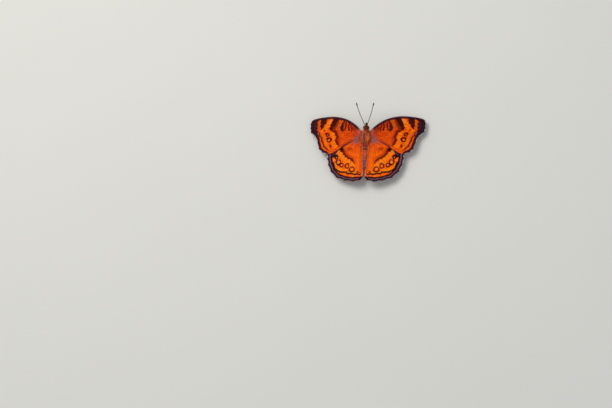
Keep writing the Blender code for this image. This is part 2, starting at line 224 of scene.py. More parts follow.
def opaque(colours):
    return np.hstack((colours, np.ones((len(colours), 1))))


def finish_piece(name, mesh, materials, nodes):
    """Link a piece, hide the solids it stands for and say what carries it."""
    piece = add_object(name, mesh)
    if not mesh.materials:
        for material in materials:
            mesh.materials.append(material)
    mesh.shade_smooth()
    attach(piece, BODY)
    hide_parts(*nodes)
    return piece


def new_mesh(bm, name):
    """The bmesh as a mesh."""
    mesh = bpy.data.meshes.new(name)
    bm.to_mesh(mesh)
    bm.free()
    return mesh


def keep_mesh(bm, name):
    """The bmesh as a mesh in the scene's own metres."""
    bmesh.ops.scale(bm, verts=bm.verts, vec=(MM, MM, MM))
    bmesh.ops.translate(bm, verts=bm.verts, vec=HINGE)
    return new_mesh(bm, name)


def points_of(mesh):
    """The mesh's points as an array."""
    flat = np.empty(3 * len(mesh.vertices))
    mesh.vertices.foreach_get("co", flat)
    return flat.reshape(-1, 3)


def places_of(mesh):
    """The mesh's points in millimetres about the hinge."""
    return (points_of(mesh) - np.array(HINGE)) / MM


# %% [markdown]
# Materials are built from nodes in code. These helpers add a node, set or wire its inputs, and do the
# small sums that every material here needs.

# %% Node helpers
def feed(tree, node, sockets):
    """Wire a socket to each named input of a node, or set a number or colour there."""
    for name, value in sockets.items():
        if isinstance(value, bpy.types.NodeSocket):
            tree.links.new(value, node.inputs[name])
        else:
            node.inputs[name].default_value = value


def add_node(tree, kind, sockets, **settings):
    made = tree.nodes.new("ShaderNode" + kind)
    for name, value in settings.items():
        setattr(made, name, value)
    feed(tree, made, sockets)
    return made


def maths(tree, operation, first, second):
    """A maths node on two sockets or numbers."""
    return add_node(tree, "Math", {0: first, 1: second}, operation=operation).outputs[0]


def spread(tree, value, low, high, start=0.0, end=1.0):
    """A value between two numbers turned into one between two others."""
    return add_node(tree, "MapRange", {"Value": value, "From Min": start, "From Max": end,
                                       "To Min": low, "To Max": high}).outputs[0]


def times(tree, vector, factor):
    """A colour or a place times a value."""
    return add_node(tree, "VectorMath", {0: vector, "Scale": factor}, operation="SCALE").outputs[0]


def stretched(tree, place, across, along_it, seed=0.0):
    """Coordinates scaled differently in two directions."""
    return add_node(tree, "Mapping", {"Vector": place, "Scale": (along_it, across, 1.0),
                                      "Location": (seed, seed, seed)}).outputs[0]


def object_place(tree):
    return add_node(tree, "TexCoord", {}).outputs["Object"]


def attribute(tree, name, field="Color"):
    return add_node(tree, "Attribute", {}, attribute_name=name).outputs[field]


def new_group(name, inputs, outputs):
    """A node group whose sockets are given as names and kinds, and its ends."""
    tree = bpy.data.node_groups.new(name, "ShaderNodeTree")
    for way, sockets in (("INPUT", inputs), ("OUTPUT", outputs)):
        for socket, kind in sockets.items():
            tree.interface.new_socket(socket, in_out=way, socket_type="NodeSocket" + kind)
    return tree, tree.nodes.new("NodeGroupInput").outputs, tree.nodes.new("NodeGroupOutput")


def new_material(name, constants):
    """A material with some constants on its shader, and its node tree."""
    material = bpy.data.materials.new(name)
    material.use_nodes = True
    tree = material.node_tree
    feed(tree, tree.nodes["Principled BSDF"], constants)
    return material, tree


def finish_shader(tree, colour, roughness, height=None, strength=0.0, depth=0.0):
    """Wire a material's colour, roughness and bump, whose depth is in millimetres."""
    shader = tree.nodes["Principled BSDF"]
    feed(tree, shader, {"Base Color": colour, "Roughness": roughness})
    if height is not None:
        bump = add_node(tree, "Bump", {"Strength": strength, "Distance": depth * MM, "Height": height})
        feed(tree, shader, {"Normal": bump.outputs[0]})


# %% [markdown]
# A plain pale floor and soft light from above keep the eye on the animal. The sun of the picture came
# from the upper left, so the largest lamp hangs there, and a paler one opens the shadows.

# %% Floor and light
FLOOR_COLOUR = shade(222, 221, 216)


def paper_material():
    """Matt paper: a faint cloud of tone and a fine tooth."""
    paper, tree = new_material("floor_paper", {"Specular IOR Level": 0.2})
    place = object_place(tree)
    cloud, tooth = (add_node(tree, "TexNoise", {"Vector": place, "Scale": size}).outputs[0]
                    for size in (14.0, 2200.0))
    tone = maths(tree, "MULTIPLY", spread(tree, cloud, 0.985, 1.015), spread(tree, tooth, 0.96, 1.04))
    ground = add_node(tree, "RGB", {}).outputs[0]
    ground.default_value = (*FLOOR_COLOUR, 1.0)
    finish_shader(tree, times(tree, ground, tone), spread(tree, tooth, 0.85, 0.95), tooth, 0.2, 0.03)
    return paper


def make_floor():
    bm = bmesh.new()
    bmesh.ops.create_grid(bm, x_segments=1, y_segments=1, size=2.0)
    floor = add_object("floor", new_mesh(bm, "floor"))
    floor.data.materials.append(paper_material())


def make_lamp(name, place, size, power, colour):
    data = bpy.data.lights.new(name, "AREA")
    data.size, data.energy, data.color = size, power, colour
    lamp = add_object(name, data)
    lamp.location = place
    lamp.rotation_euler = (Vector(place) - HINGE).to_track_quat("Z", "Y").to_euler()


def make_world():
    world = bpy.data.worlds.new("studio")
    world.use_nodes = True
    sky = world.node_tree.nodes["Background"]
    sky.inputs["Color"].default_value = (0.92, 0.96, 1.0, 1.0)
    sky.inputs["Strength"].default_value = 0.42
    bpy.context.scene.world = world


make_floor()
make_world()
make_lamp("key", (-0.30, 0.30, 0.70), 0.50, 4.3, (1.0, 0.97, 0.92))
make_lamp("fill", (0.60, -0.50, 0.60), 0.60, 1.0, (0.93, 0.97, 1.0))
bpy.context.scene.view_settings.view_transform = "Standard"

# %% [markdown]
# Under the hair, head, thorax and abdomen are one horny skin, drawn in at the neck and the waist. It
# could be three balls pushed together, but the joins would crease. Instead one circle is extruded from
# the face to the tail, and each new ring is moved and scaled to the body's width, back and belly at
# that place. The abdomen's rings rise and fall a little, once for each of its eight segments.

# %% The body's rings
BODY_STATIONS = (             # y, half width, back, belly
    (5.20, 0.12, -0.28, -0.60), (5.12, 0.42, 0.10, -0.98), (4.85, 0.78, 0.48, -1.22),
    (4.40, 0.98, 0.70, -1.34), (3.95, 0.96, 0.62, -1.24), (3.62, 0.74, 0.46, -1.00),
    (3.38, 0.68, 0.44, -1.00), (3.05, 0.92, 0.72, -1.45), (2.55, 1.22, 1.06, -1.92),
    (1.90, 1.45, 1.26, -2.18), (0.80, 1.62, 1.38, -2.32), (-0.30, 1.68, 1.40, -2.36),
    (-1.50, 1.60, 1.30, -2.24), (-2.60, 1.32, 1.02, -1.92), (-3.30, 1.00, 0.66, -1.60),
    (-3.75, 0.86, 0.36, -1.38), (-4.10, 0.92, 0.42, -1.46))
ABDOMEN_FRONT, ABDOMEN_REAR, ABDOMEN_SEGMENTS = -4.1, -15.5, 8
BODY_LENGTH = BODY_STATIONS[0][0] - ABDOMEN_REAR
ABDOMEN_HALF_WIDTH, ABDOMEN_HALF_HEIGHT = 1.02, 1.10
ABDOMEN_DROP = (-0.52, -1.5)
FOLD_DEPTH = 0.05


def abdomen_station(share):
    """One ring of the abdomen, for the share of its length from the waist."""
    y = ABDOMEN_FRONT + share * (ABDOMEN_REAR - ABDOMEN_FRONT)
    swell = 0.86 + 0.14 * math.sin(0.5 * math.pi * min(1.0, share / 0.25))
    taper = 1 - 0.62 * max(0.0, (share - 0.35) / 0.65) ** 1.8
    close = math.sqrt(max(0.004, 1 - max(0.0, (share - 0.93) / 0.07) ** 2))
    fold = FOLD_DEPTH * abs(math.cos(math.pi * share * ABDOMEN_SEGMENTS)) ** 6
    size = swell * taper * close
    middle = ABDOMEN_DROP[0] + share * (ABDOMEN_DROP[1] - ABDOMEN_DROP[0])
    half = ABDOMEN_HALF_HEIGHT * size - fold * close
    return y, ABDOMEN_HALF_WIDTH * size - fold * close, middle + half, middle - half


STATIONS = np.vstack((smooth_curve(BODY_STATIONS, 0.16)[:-1],
                      [abdomen_station(s) for s in np.linspace(0.0, 1.0, 97)]))
RING_SIDES = 40


def body_size(y):
    """Half width, middle height and half height of the skin at each y."""
    order = STATIONS[::-1]
    width, back, belly = (np.interp(y, order[:, 0], order[:, k]) for k in (1, 2, 3))
    return width, (back + belly) / 2, (back - belly) / 2


def on_skin(y, angle):
    """Points of the skin for an angle round the body from the back, and the way out there."""
    width, middle, half = body_size(y)
    place = np.stack((width * np.sin(angle), y, middle + half * np.cos(angle)), axis=1)
    step = 0.05
    ahead, behind = body_size(y + step), body_size(y - step)
    growth = np.stack([(a - b) / (2 * step) for a, b in zip(ahead, behind)], axis=1)
    forward = np.stack((growth[:, 0] * np.sin(angle), np.ones_like(y),
                        growth[:, 1] + growth[:, 2] * np.cos(angle)), axis=1)
    round_it = np.stack((width * np.cos(angle), 0 * y, -half * np.sin(angle)), axis=1)
    normal = np.cross(round_it, forward)
    normal /= np.linalg.norm(normal, axis=1)[:, None]
    return place, normal


# %% Extrude the body
def next_ring(bm, edges):
    """Extrude a ring of edges, and return the points and edges of the new one."""
    made = bmesh.ops.extrude_edge_only(bm, edges=edges)["geom"]
    return tuple([g for g in made if isinstance(g, kind)]
                 for kind in (bmesh.types.BMVert, bmesh.types.BMEdge))


def make_body_mesh():
    bm = bmesh.new()
    upright = Matrix.Rotation(math.radians(90), 4, "X")
    ring = bmesh.ops.create_circle(bm, segments=RING_SIDES, radius=1.0, matrix=upright)["verts"]
    at, size = Vector((0, 0, 0)), Vector((1, 1, 1))
    edges = bm.edges[:]
    for number, (y, width, back, belly) in enumerate(STATIONS):
        if number:
            ring, edges = next_ring(bm, edges)
        place = Vector((0, y, (back + belly) / 2))
        wanted = Vector((width, 1, (back - belly) / 2))
        factor = Vector(b / a for a, b in zip(size, wanted))
        bmesh.ops.scale(bm, verts=ring, vec=factor, space=Matrix.Translation(-at))
        bmesh.ops.translate(bm, verts=ring, vec=place - at)
        at, size = place, wanted
    bmesh.ops.holes_fill(bm, edges=[e for e in bm.edges if e.is_boundary], sides=RING_SIDES)
    bmesh.ops.poke(bm, faces=[f for f in bm.faces if len(f.verts) > 4])
    bmesh.ops.recalc_face_normals(bm, faces=bm.faces)
    return bm


# %% [markdown]
# The horny skin shows between hairs and on the legs, feelers and mouth parts. It is dark, faintly
# glossy and finely pitted. One node group gives its mottled tone and its pits, and each material that
# uses it sets its own two colours. Where a coat covers the skin, the skin has the coat's colours, so no
# bald patch shows.

# %% Horn group
def make_horn_group():
    tree, given, result = new_group(
        "horn", {"Dark": "Color", "Light": "Color", "Size": "Float"},
        {"Colour": "Color", "Height": "Float", "Roughness": "Float"})
    place = object_place(tree)
    mottle = add_node(tree, "TexNoise", {"Vector": place, "Scale": given["Size"], "Detail": 4.0})
    pits = add_node(tree, "TexVoronoi",
                    {"Vector": place, "Scale": maths(tree, "MULTIPLY", given["Size"], 6.0)})
    share = spread(tree, mottle.outputs[0], 0.0, 1.0, 0.35, 0.65)
    blend = add_node(tree, "Mix", {"Factor": share, "A": given["Dark"], "B": given["Light"]},
                     data_type="RGBA")
    feed(tree, result, {"Colour": blend.outputs["Result"], "Height": pits.outputs["Distance"],
                        "Roughness": spread(tree, mottle.outputs[0], 0.3, 0.55, 0.3, 0.7)})
    return tree


HORN = make_horn_group()


def horn_material(name, dark, light, size, bump_depth, tint=None):
    """Horn with its own colours, times those of an attribute where one is named."""
    material, tree = new_material(name, {"Specular IOR Level": 0.35})
    horn = add_node(tree, "Group", {"Dark": (*dark, 1.0), "Light": (*light, 1.0), "Size": size},
                    node_tree=HORN).outputs
    colour = horn["Colour"]
    if tint:
        colour = add_node(tree, "Mix", {"Factor": 1.0, "A": colour, "B": attribute(tree, tint)},
                          data_type="RGBA", blend_type="MULTIPLY").outputs["Result"]
    finish_shader(tree, colour, horn["Roughness"], horn["Height"], 0.5, bump_depth)
    return material


# %% [markdown]
# The body's colours change along its length: a dark maroon head, a rusty thorax with pale and dark
# streaks, then a dark first stretch of abdomen that turns to rose and to violet. The same function
# colours the skin and each hair on it, so the two always agree.

# %% Body colours and skin
WINE = shade(126, 48, 44)
CHESTNUT = shade(184, 52, 18)
COPPER = shade(222, 100, 34)
ROSE = shade(242, 138, 96)
APRICOT = shade(236, 130, 64)
RUSSET = shade(158, 54, 34)
BLUSH = shade(238, 108, 76)
PLUM = shade(158, 90, 118)
SAND = shade(206, 150, 104)
BODY_HUES = ((5.3, WINE), (3.9, WINE), (3.0, CHESTNUT), (1.8, COPPER), (0.2, ROSE), (-1.4, COPPER),
             (-2.2, COPPER), (-3.2, CHESTNUT), (-4.4, WINE), (-6.2, WINE), (-7.6, BLUSH),
             (-9.6, BLUSH), (-11.6, PLUM), (-15.6, PLUM))


STREAK_ACROSS, STREAK_ALONG = 1.8, 0.22     # how often streaks come, for each millimetre


def body_colour(places):
    """Colour of skin and coat for points about the hinge, with streaks along the body."""
    x, y, z = places.T
    stations = np.array([station for station, hue in BODY_HUES])[::-1]
    hues = np.array([hue for station, hue in BODY_HUES])[::-1]
    tint = np.stack([np.interp(y, stations, hues[:, k]) for k in range(3)], axis=1)
    stretch_by = np.array((STREAK_ACROSS, STREAK_ALONG, STREAK_ACROSS))
    streak = np.array([noise.noise(Vector(place)) for place in places * stretch_by])
    on_thorax = soft_step((3.4 - y) / 0.6) * soft_step((y + 4.2) / 1.0)
    lay(tint, soft_step(streak * 3.5) * 0.8, CHESTNUT * 0.35)
    lay(tint, soft_step(-streak * 3.5) * 0.7 * on_thorax, APRICOT)
    for side in (-1, 1):
        stripe = soft_step(1 - np.abs(x - 1.05 * side) / 0.3) * soft_step((1.5 - y) / 1.0)
        lay(tint, stripe * 0.5, APRICOT)
    lay(tint, soft_step(1 - np.abs(x) / 0.35) * soft_step((-5.0 - y) / 2.0) * 0.35, RUSSET)
    segment = (ABDOMEN_FRONT - y) / (ABDOMEN_FRONT - ABDOMEN_REAR) * ABDOMEN_SEGMENTS
    rim = np.abs(np.cos(math.pi * segment)) ** 8 * soft_step((-4.3 - y) / 0.5)
    lay(tint, rim * 0.4, SAND)
    width, middle, half = body_size(y)
    lay(tint, soft_step((middle - z) / np.maximum(half, 0.1) / 0.8) * 0.75, SAND)
    return tint


def make_body():
    mesh = keep_mesh(make_body_mesh(), "body_skin")
    put_attribute(mesh, "tint", "FLOAT_COLOR", opaque(body_colour(places_of(mesh))))
    skin = horn_material("body_horn", (0.45, 0.42, 0.42), (0.75, 0.7, 0.68), 1200.0, 0.02, "tint")
    piece = finish_piece("body_skin", mesh, (skin,), ("head", "thorax", "abdomen"))
    print(piece.name, len(mesh.polygons), "faces,", [round(1000 * v, 1) for v in piece.dimensions])


make_body()

# %% [markdown]
# A butterfly's eye is a dome of thousands of small lenses, dark brown and glossy, that fills each side
# of the head. A sphere is scaled to the dome and sunk into the head. The lenses are a bump of small
# cells, and a paler ring of scales lies round the rim.

# %% Eyes
EYE_CENTRE = (0.70, 4.35, -0.22)
EYE_RADII = (0.88, 0.80, 0.94)


def eye_material():
    material, tree = new_material("eye_lenses", {"Coat Weight": 0.2, "Coat Roughness": 0.12,
                                                 "Specular IOR Level": 0.2})
    place = object_place(tree)
    lenses = add_node(tree, "TexVoronoi", {"Vector": place, "Scale": 24000.0, "Randomness": 0.6})
    cloud = add_node(tree, "TexNoise", {"Vector": place, "Scale": 2500.0})
    ramp = add_node(tree, "ValToRGB", {0: cloud.outputs[0]})
    for stop, colour in zip(ramp.color_ramp.elements, (shade(34, 12, 10), shade(92, 40, 24))):
        stop.color = (*colour, 1.0)
    depth = lenses.outputs["Distance"]
    finish_shader(tree, ramp.outputs[0], spread(tree, depth, 0.18, 0.4),
                  spread(tree, depth, 1.0, 0.0), 0.35, 0.008)
    return material


def make_eyes():
    lens = eye_material()
    for side, sign in SIDES:
        bm = bmesh.new()
        bmesh.ops.create_uvsphere(bm, u_segments=48, v_segments=32, radius=1.0)
        bmesh.ops.scale(bm, verts=bm.verts, vec=EYE_RADII)
        bmesh.ops.rotate(bm, verts=bm.verts, matrix=Matrix.Rotation(math.radians(-8 * sign), 3, "Z"))
        bmesh.ops.translate(bm, verts=bm.verts, vec=(sign * EYE_CENTRE[0], *EYE_CENTRE[1:]))
        mesh = keep_mesh(bm, f"eye_{side}")
        finish_piece(f"eye_{side}_dome", mesh, (lens,), (f"eye_{side}",))
        print("eye", side, len(mesh.polygons), "faces")


make_eyes()

# %% [markdown]
# Feelers, palps, tongue and legs are all tubes that follow a bent line and change their thickness on
# the way. One function makes such a tube: a circle is set at the start, square to the line, and is
# extruded from point to point, turned each time by the bend between two stretches. Both ends are
# closed with a fan.

# %% Tubes along a line
def make_tube(bm, path, radii, sides=12):
    """Add a closed tube through the path's points to a bmesh."""
    path = [Vector(p) for p in path]
    ways = [(b - a).normalized() for a, b in zip(path, path[1:])]
    aims = [ways[0], *((a + b).normalized() for a, b in zip(ways, ways[1:])), ways[-1]]
    frame_of = aims[0].to_track_quat("Z", "Y").to_matrix()
    start = Matrix.Translation(path[0]) @ frame_of.to_4x4() @ Matrix.Diagonal(
        (radii[0], radii[0], 1.0, 1.0))
    ring = bmesh.ops.create_circle(bm, segments=sides, radius=1.0, matrix=start)["verts"]
    edges = list(dict.fromkeys(e for v in ring for e in v.link_edges))
    ends = [list(edges)]
    for number in range(1, len(path)):
        ring, edges = next_ring(bm, edges)
        bmesh.ops.translate(bm, verts=ring, vec=path[number] - path[number - 1])
        home = Matrix.Translation(-path[number])
        bend = aims[number - 1].rotation_difference(aims[number]).to_matrix()
        bmesh.ops.rotate(bm, verts=ring, cent=path[number], matrix=bend)
        growth = radii[number] / radii[number - 1]
        bmesh.ops.scale(bm, verts=ring, vec=(growth,) * 3, space=home)
    ends.append(edges)
    for rim in ends:
        face = bmesh.ops.contextual_create(bm, geom=rim)["faces"]
        bmesh.ops.poke(bm, faces=face)
    bmesh.ops.recalc_face_normals(bm, faces=bm.faces)


def taper(path, radii, step):
    """A smooth path with a radius for each of its points."""
    line = smooth_curve([(*p, r) for p, r in zip(path, radii)], step)
    return line[:, :3], line[:, 3]


def mirrored(points, sign):
    return [(sign * x, y, z) for x, y, z in points]


# %% [markdown]
# A feeler is a thin shaft of about forty short rings that ends in a flat-tipped club. The shaft is
# dark brown with pale ring edges and the club is nearly black with a rusty tip. The rings are real
# steps in the tube's radius.

# %% Feelers
ANTENNA_BASE = (0.36, 4.95, 0.30)
ANTENNA_TIP = (4.27, 14.8, 5.7)
ANTENNA_BOW = (0.25, -0.15, 0.25)
ANTENNA_RINGS = 44
SHAFT_RADIUS, CLUB_RADIUS = 0.145, 0.28
RING_EDGE, CLUB_TONE, TIP_TONE = (np.array(tone) for tone in (    # factors on the horn's colour
    (1.9, 1.9, 1.7), (0.22, 0.17, 0.2), (1.5, 0.8, 0.6)))


def feeler_line(sign):
    """Points along a feeler and its radius, with a step at each ring."""
    base, tip, bow = (np.array(v) for v in (ANTENNA_BASE, ANTENNA_TIP, ANTENNA_BOW))
    share = np.linspace(0, 1, 3 * ANTENNA_RINGS + 1)
    line = base + np.outer(share, tip - base) + np.outer(np.sin(math.pi * share), bow)
    club = np.exp(-((share - 0.925) / 0.062) ** 2)
    radius = SHAFT_RADIUS + (CLUB_RADIUS - SHAFT_RADIUS) * club
    radius *= 1 + 0.14 * (np.arange(len(share)) % 3 == 1) + 0.4 * np.exp(-(share / 0.025) ** 2)
    radius[-2:] *= (0.8, 0.35)
    return line * (sign, 1, 1), radius


def make_feelers():
    finish = horn_material("feeler_horn", shade(30, 23, 16), shade(50, 38, 26), 2500.0, 0.01, "tint")
    for side, sign in SIDES:
        line, radius = feeler_line(sign)
        bm = bmesh.new()
        make_tube(bm, line, radius, 12)
        mesh = keep_mesh(bm, f"antenna_{side}")
        t = (places_of(mesh)[:, 1] - ANTENNA_BASE[1]) / (ANTENNA_TIP[1] - ANTENNA_BASE[1])
        tint = np.ones((len(t), 3))
        lay(tint, 0.5 * (np.round(t * 3 * ANTENNA_RINGS) % 3 == 0), RING_EDGE)
        lay(tint, soft_step((t - 0.80) / 0.08), CLUB_TONE)
        lay(tint, soft_step((t - 0.975) / 0.02), TIP_TONE)
        put_attribute(mesh, "tint", "FLOAT_COLOR", opaque(tint))
        finish_piece(f"antenna_{side}_ringed", mesh, (finish,), (f"antenna_{side}",))
        print("feeler", side, len(mesh.polygons), "faces")


make_feelers()

# %% [markdown]
# Two hairy palps stand up in front of the face like a small beak, and the tongue is coiled like a
# watch spring between them. The tongue is a tapered tube along a spiral of a little over two turns.

# %% Palps and tongue
PALP_PATH = ((0.27, 4.95, -0.95), (0.31, 5.62, -0.92), (0.28, 6.02, -0.70), (0.21, 6.32, -0.25),
             (0.13, 6.50, 0.22))
PALP_RADII = (0.13, 0.22, 0.20, 0.14, 0.05)
TONGUE_CENTRE = (0.0, 5.52, -1.32)
TONGUE_COIL, TONGUE_TURNS = (0.42, 0.12), 2.3
TONGUE_RADII = (0.10, 0.045)
mouth_horn = horn_material("mouth_horn", shade(96, 48, 26), shade(150, 92, 56), 2500.0, 0.01)


def tongue_line():
    """The coil, from its root on the face to its tip in the middle."""
    turn = np.linspace(0, 2 * math.pi * TONGUE_TURNS, 72)
    reach = np.linspace(*TONGUE_COIL, len(turn))
    coil = np.stack((0 * turn, TONGUE_CENTRE[1] - reach * np.cos(turn + 0.6),
                     TONGUE_CENTRE[2] + reach * np.sin(turn + 0.6)), axis=1)
    line = np.vstack(((0.0, 4.9, -0.95), coil))
    return line, np.linspace(*TONGUE_RADII, len(line))


def make_mouth():
    bm = bmesh.new()
    make_tube(bm, *tongue_line(), 10)
    finish_piece("tongue_coil", keep_mesh(bm, "tongue"), (mouth_horn,), ("proboscis",))
    for side, sign in SIDES:
        bm = bmesh.new()
        make_tube(bm, *taper(mirrored(PALP_PATH, sign), PALP_RADII, 0.12), 14)
        finish_piece(f"palp_{side}_core", keep_mesh(bm, f"palp_{side}"), (mouth_horn,),
                     (f"palp_{side}",))
    print("tongue of", TONGUE_TURNS, "turns and two palps")


make_mouth()

# %% [markdown]
# Only four legs reach the floor: the front pair of this family is tiny, brush-like and folded against
# the chest. Each leg is a chain of tapered tubes that swell at the joints, with spurs at the end of
# the shin, a foot of five beads and a pair of claws. Every leg is drawn through the same named joints
# as its solid.

# %% Legs
SOLE = -5.83
LEGS = {"midleg": {"coxa_y": 0.3, "knee": (4.1, 2.0, -2.75), "ankle": (6.2, 3.3, -5.5),
                   "toe": (8.6, 4.9, SOLE)},
        "hindleg": {"coxa_y": -1.7, "knee": (3.8, -4.6, -2.85), "ankle": (5.4, -7.3, -5.5),
                    "toe": (6.8, -9.8, SOLE)}}
TARSUS_BEADS = 5
leg_horn = horn_material("leg_horn", shade(118, 66, 38), shade(176, 122, 84), 2000.0, 0.012)


def bead_chain(start, end, beads, radius):
    """A foot: beads in a row, each flared at its far end."""
    start, end = np.array(start), np.array(end)
    share = np.linspace(0, 1, 6 * beads + 1)
    line = start + np.outer(share, end - start)
    line[:, 2] = np.maximum(line[:, 2], FLOOR + radius * 1.3)
    phase = (share * beads) % 1.0
    size = radius * (0.72 + 0.38 * phase ** 2) * (1 - 0.25 * share)
    return line, size


def make_leg(bm, kind, sign):
    """Add one standing leg to a bmesh, and return its four stretches for their scales."""
    spec = LEGS[kind]
    width, middle, half = (float(v) for v in body_size(np.array(spec["coxa_y"])))
    top = Vector((0.6, spec["coxa_y"], middle - half + 0.25))
    knee, ankle, toe = (Vector(spec[joint]) for joint in ("knee", "ankle", "toe"))
    hip = top + Vector((0.3, 0.1 * (knee.y - spec["coxa_y"]), -0.85))
    joints = [mirrored([p], sign)[0] for p in (top, hip, knee, ankle, toe)]
    top, hip, knee, ankle, toe = (Vector(p) for p in joints)
    rise = Vector((0, 0, 0.18))
    coxa = taper((top, top.lerp(hip, 0.6), hip), (0.36, 0.34, 0.2), 0.2)
    femur = taper((hip, hip.lerp(knee, 0.35) + rise, hip.lerp(knee, 0.8) + rise * 0.6, knee),
                  (0.17, 0.27, 0.20, 0.16), 0.25)
    tibia = taper((knee, knee.lerp(ankle, 0.3), knee.lerp(ankle, 0.8), ankle),
                  (0.16, 0.17, 0.14, 0.15), 0.3)
    foot = bead_chain(ankle, toe, TARSUS_BEADS, 0.13)
    for piece in (coxa, femur, tibia, foot):
        make_tube(bm, *piece)
    along_foot = (toe - ankle).normalized()
    across = along_foot.cross(Vector((0, 0, 1))).normalized()
    for way in (-1, 1):
        spur = ankle + across * way * 0.34 + along_foot * 0.42 + Vector((0, 0, -0.12))
        make_tube(bm, *taper((ankle, ankle.lerp(spur, 0.6), spur), (0.07, 0.05, 0.012), 0.1), 8)
        end = Vector(foot[0][-1])
        claw = (end - along_foot * 0.05, end + along_foot * 0.16 + across * way * 0.12,
                Vector((end.x, end.y, FLOOR + 0.06)) + along_foot * 0.26 + across * way * 0.16)
        make_tube(bm, *taper(claw, (0.06, 0.045, 0.012), 0.08), 8)
    return coxa, femur, tibia, foot


def make_foreleg(bm, sign):
    """Add one small folded front leg."""
    top = Vector((0.6, 2.0, -1.95))
    path = [top]
    for step in ((0.15, 0.35, -0.75), (0.25, 1.3, -0.2), (0.3, 2.1, 0.15), (0.2, 2.6, -0.15)):
        path.append(top + Vector(step))
    whole = taper(mirrored(path, sign), (0.26, 0.24, 0.2, 0.18, 0.05), 0.12)
    make_tube(bm, *whole)
    return (whole,)


LEG_LINES = {}
for side, sign in SIDES:
    for kind in ("foreleg", "midleg", "hindleg"):
        bm = bmesh.new()
        name = f"{kind}_{side}"
        LEG_LINES[name] = make_foreleg(bm, sign) if kind == "foreleg" else make_leg(bm, kind, sign)
        finish_piece(f"{name}_horn", keep_mesh(bm, name), (leg_horn,), (name,))
print("legs", sorted(LEG_LINES))

# %% [markdown]
# A wing's outline and veins are drawn on the flat wing, as for the solids: x outward, y forward. A few
# points on each edge are joined by a smooth curve. Each vein ends at a named tip on the outer margin,
# and between two tips the margin is drawn in a little, which makes the scallops.

# %% Wing outlines and veins
CURVE_STEP = 0.25
THORAX_HALF_WIDTH = 2.0
ROOT_X = 1.75               # the wings run in under the hair of the thorax
FORE_ROOT = (2.1, 0.2)
FORE_COSTA = ((5.2, 5.75), (10.0, 8.8), (16.0, 10.35), (22.0, 10.35), (26.5, 9.6))
FORE_TIPS = {"R4": (28.0, 8.75), "R5": (28.3, 7.1), "M1": (28.2, 5.0), "M2": (27.85, 2.9),
             "M3": (24.9, 0.3), "CuA1": (24.0, -2.7), "CuA2": (23.1, -5.8), "fold": (21.3, -7.4),
             "2A": (18.9, -8.2)}
FORE_DORSUM = ((5.0, -1.5), (9.9, -4.2), (16.4, -7.8))
FORE_CELL_END = ((12.2, 6.5), (12.6, 4.7), (12.4, 2.8), (11.4, 1.7))
FORE_VEINS = {"R5": ((2.0, 1.7), (7.2, 4.7), FORE_CELL_END[0], (20.5, 7.8)),
              "M1": (FORE_CELL_END[0], (20.5, 6.3)),
              "M2": (FORE_CELL_END[1], (20.5, 4.5)),
              "M3": (FORE_CELL_END[2], (19.2, 2.3)),
              "CuA1": ((2.0, 1.1), (6.5, 1.5), FORE_CELL_END[3], (18.2, 0.0)),
              "CuA2": ((8.4, 1.65), (13.0, -0.9), (18.2, -3.2)),
              "2A": ((2.0, 0.5), (9.0, -2.3), (14.5, -5.6))}
FORE_INNER_VEINS = (FORE_CELL_END, ((2.0, 2.0), (4.0, 3.6), (8.0, 6.7), (13.0, 9.1), (17.5, 9.9)),
                    ((9.6, 5.6), (14.5, 8.3), (19.5, 9.6)), ((12.2, 6.5), (18.0, 8.4), (23.5, 9.4)),
                    ((19.0, 7.75), (23.5, 8.55), (26.8, 8.9)))
HIND_ROOT = (0.0, -2.0)
HIND_COSTA = ((6.0, 0.3), (10.0, -0.8), (14.0, -3.0), (17.3, -6.0))
HIND_TIPS = {"Sc": (18.6, -8.6), "Rs": (18.75, -10.4), "M1": (18.1, -13.6), "M2": (16.6, -17.0),
             "M3": (13.4, -20.1), "CuA1": (9.2, -21.6), "CuA2": (5.2, -22.4), "2A": (1.7, -21.7)}
HIND_INNER = ((1.4, -3.1), (1.14, -4.5), (1.14, -9.0), (0.98, -13.0), (0.6, -17.5), (0.62, -20.2))
HIND_CELL_END = ((8.6, -6.3), (8.2, -7.6), (7.1, -8.5), (6.3, -8.2))
HIND_FORK = (7.0, -4.2)
HIND_CUBITAL_FORK = (4.6, -4.8)
HIND_VEINS = {"Sc": ((2.0, -0.5), (8.0, -2.0), (14.2, -5.6)),
              "Rs": ((2.0, -1.0), HIND_FORK, (12.8, -7.6)),
              "M1": (HIND_FORK, HIND_CELL_END[0], (13.5, -11.2)),
              "M2": (HIND_CELL_END[1], (12.1, -13.1)),
              "M3": (HIND_CELL_END[2], (9.9, -14.4)),
              "CuA1": ((2.0, -1.4), HIND_CUBITAL_FORK, HIND_CELL_END[3], (7.2, -15.4)),
              "CuA2": (HIND_CUBITAL_FORK, (4.2, -9.5), (4.2, -17.1)),
              "2A": ((2.0, -2.0), (2.6, -9.0), (2.2, -17.0))}
FORE_SCALLOP, HIND_SCALLOP = 0.12, 0.25


def scalloped(tips, depth):
    """The outer margin from the first tip to the last."""
    line = []
    for a, b in zip(tips, tips[1:]):
        run = np.subtract(b, a)
        inward = np.array((run[1], -run[0])) / np.linalg.norm(run)
        t = np.linspace(0, 1, 24, endpoint=False)[:, None]
        line.append(a + run * t + inward * depth * np.sin(math.pi * t) ** 0.8)
    return np.vstack((*line, tips[-1:]))


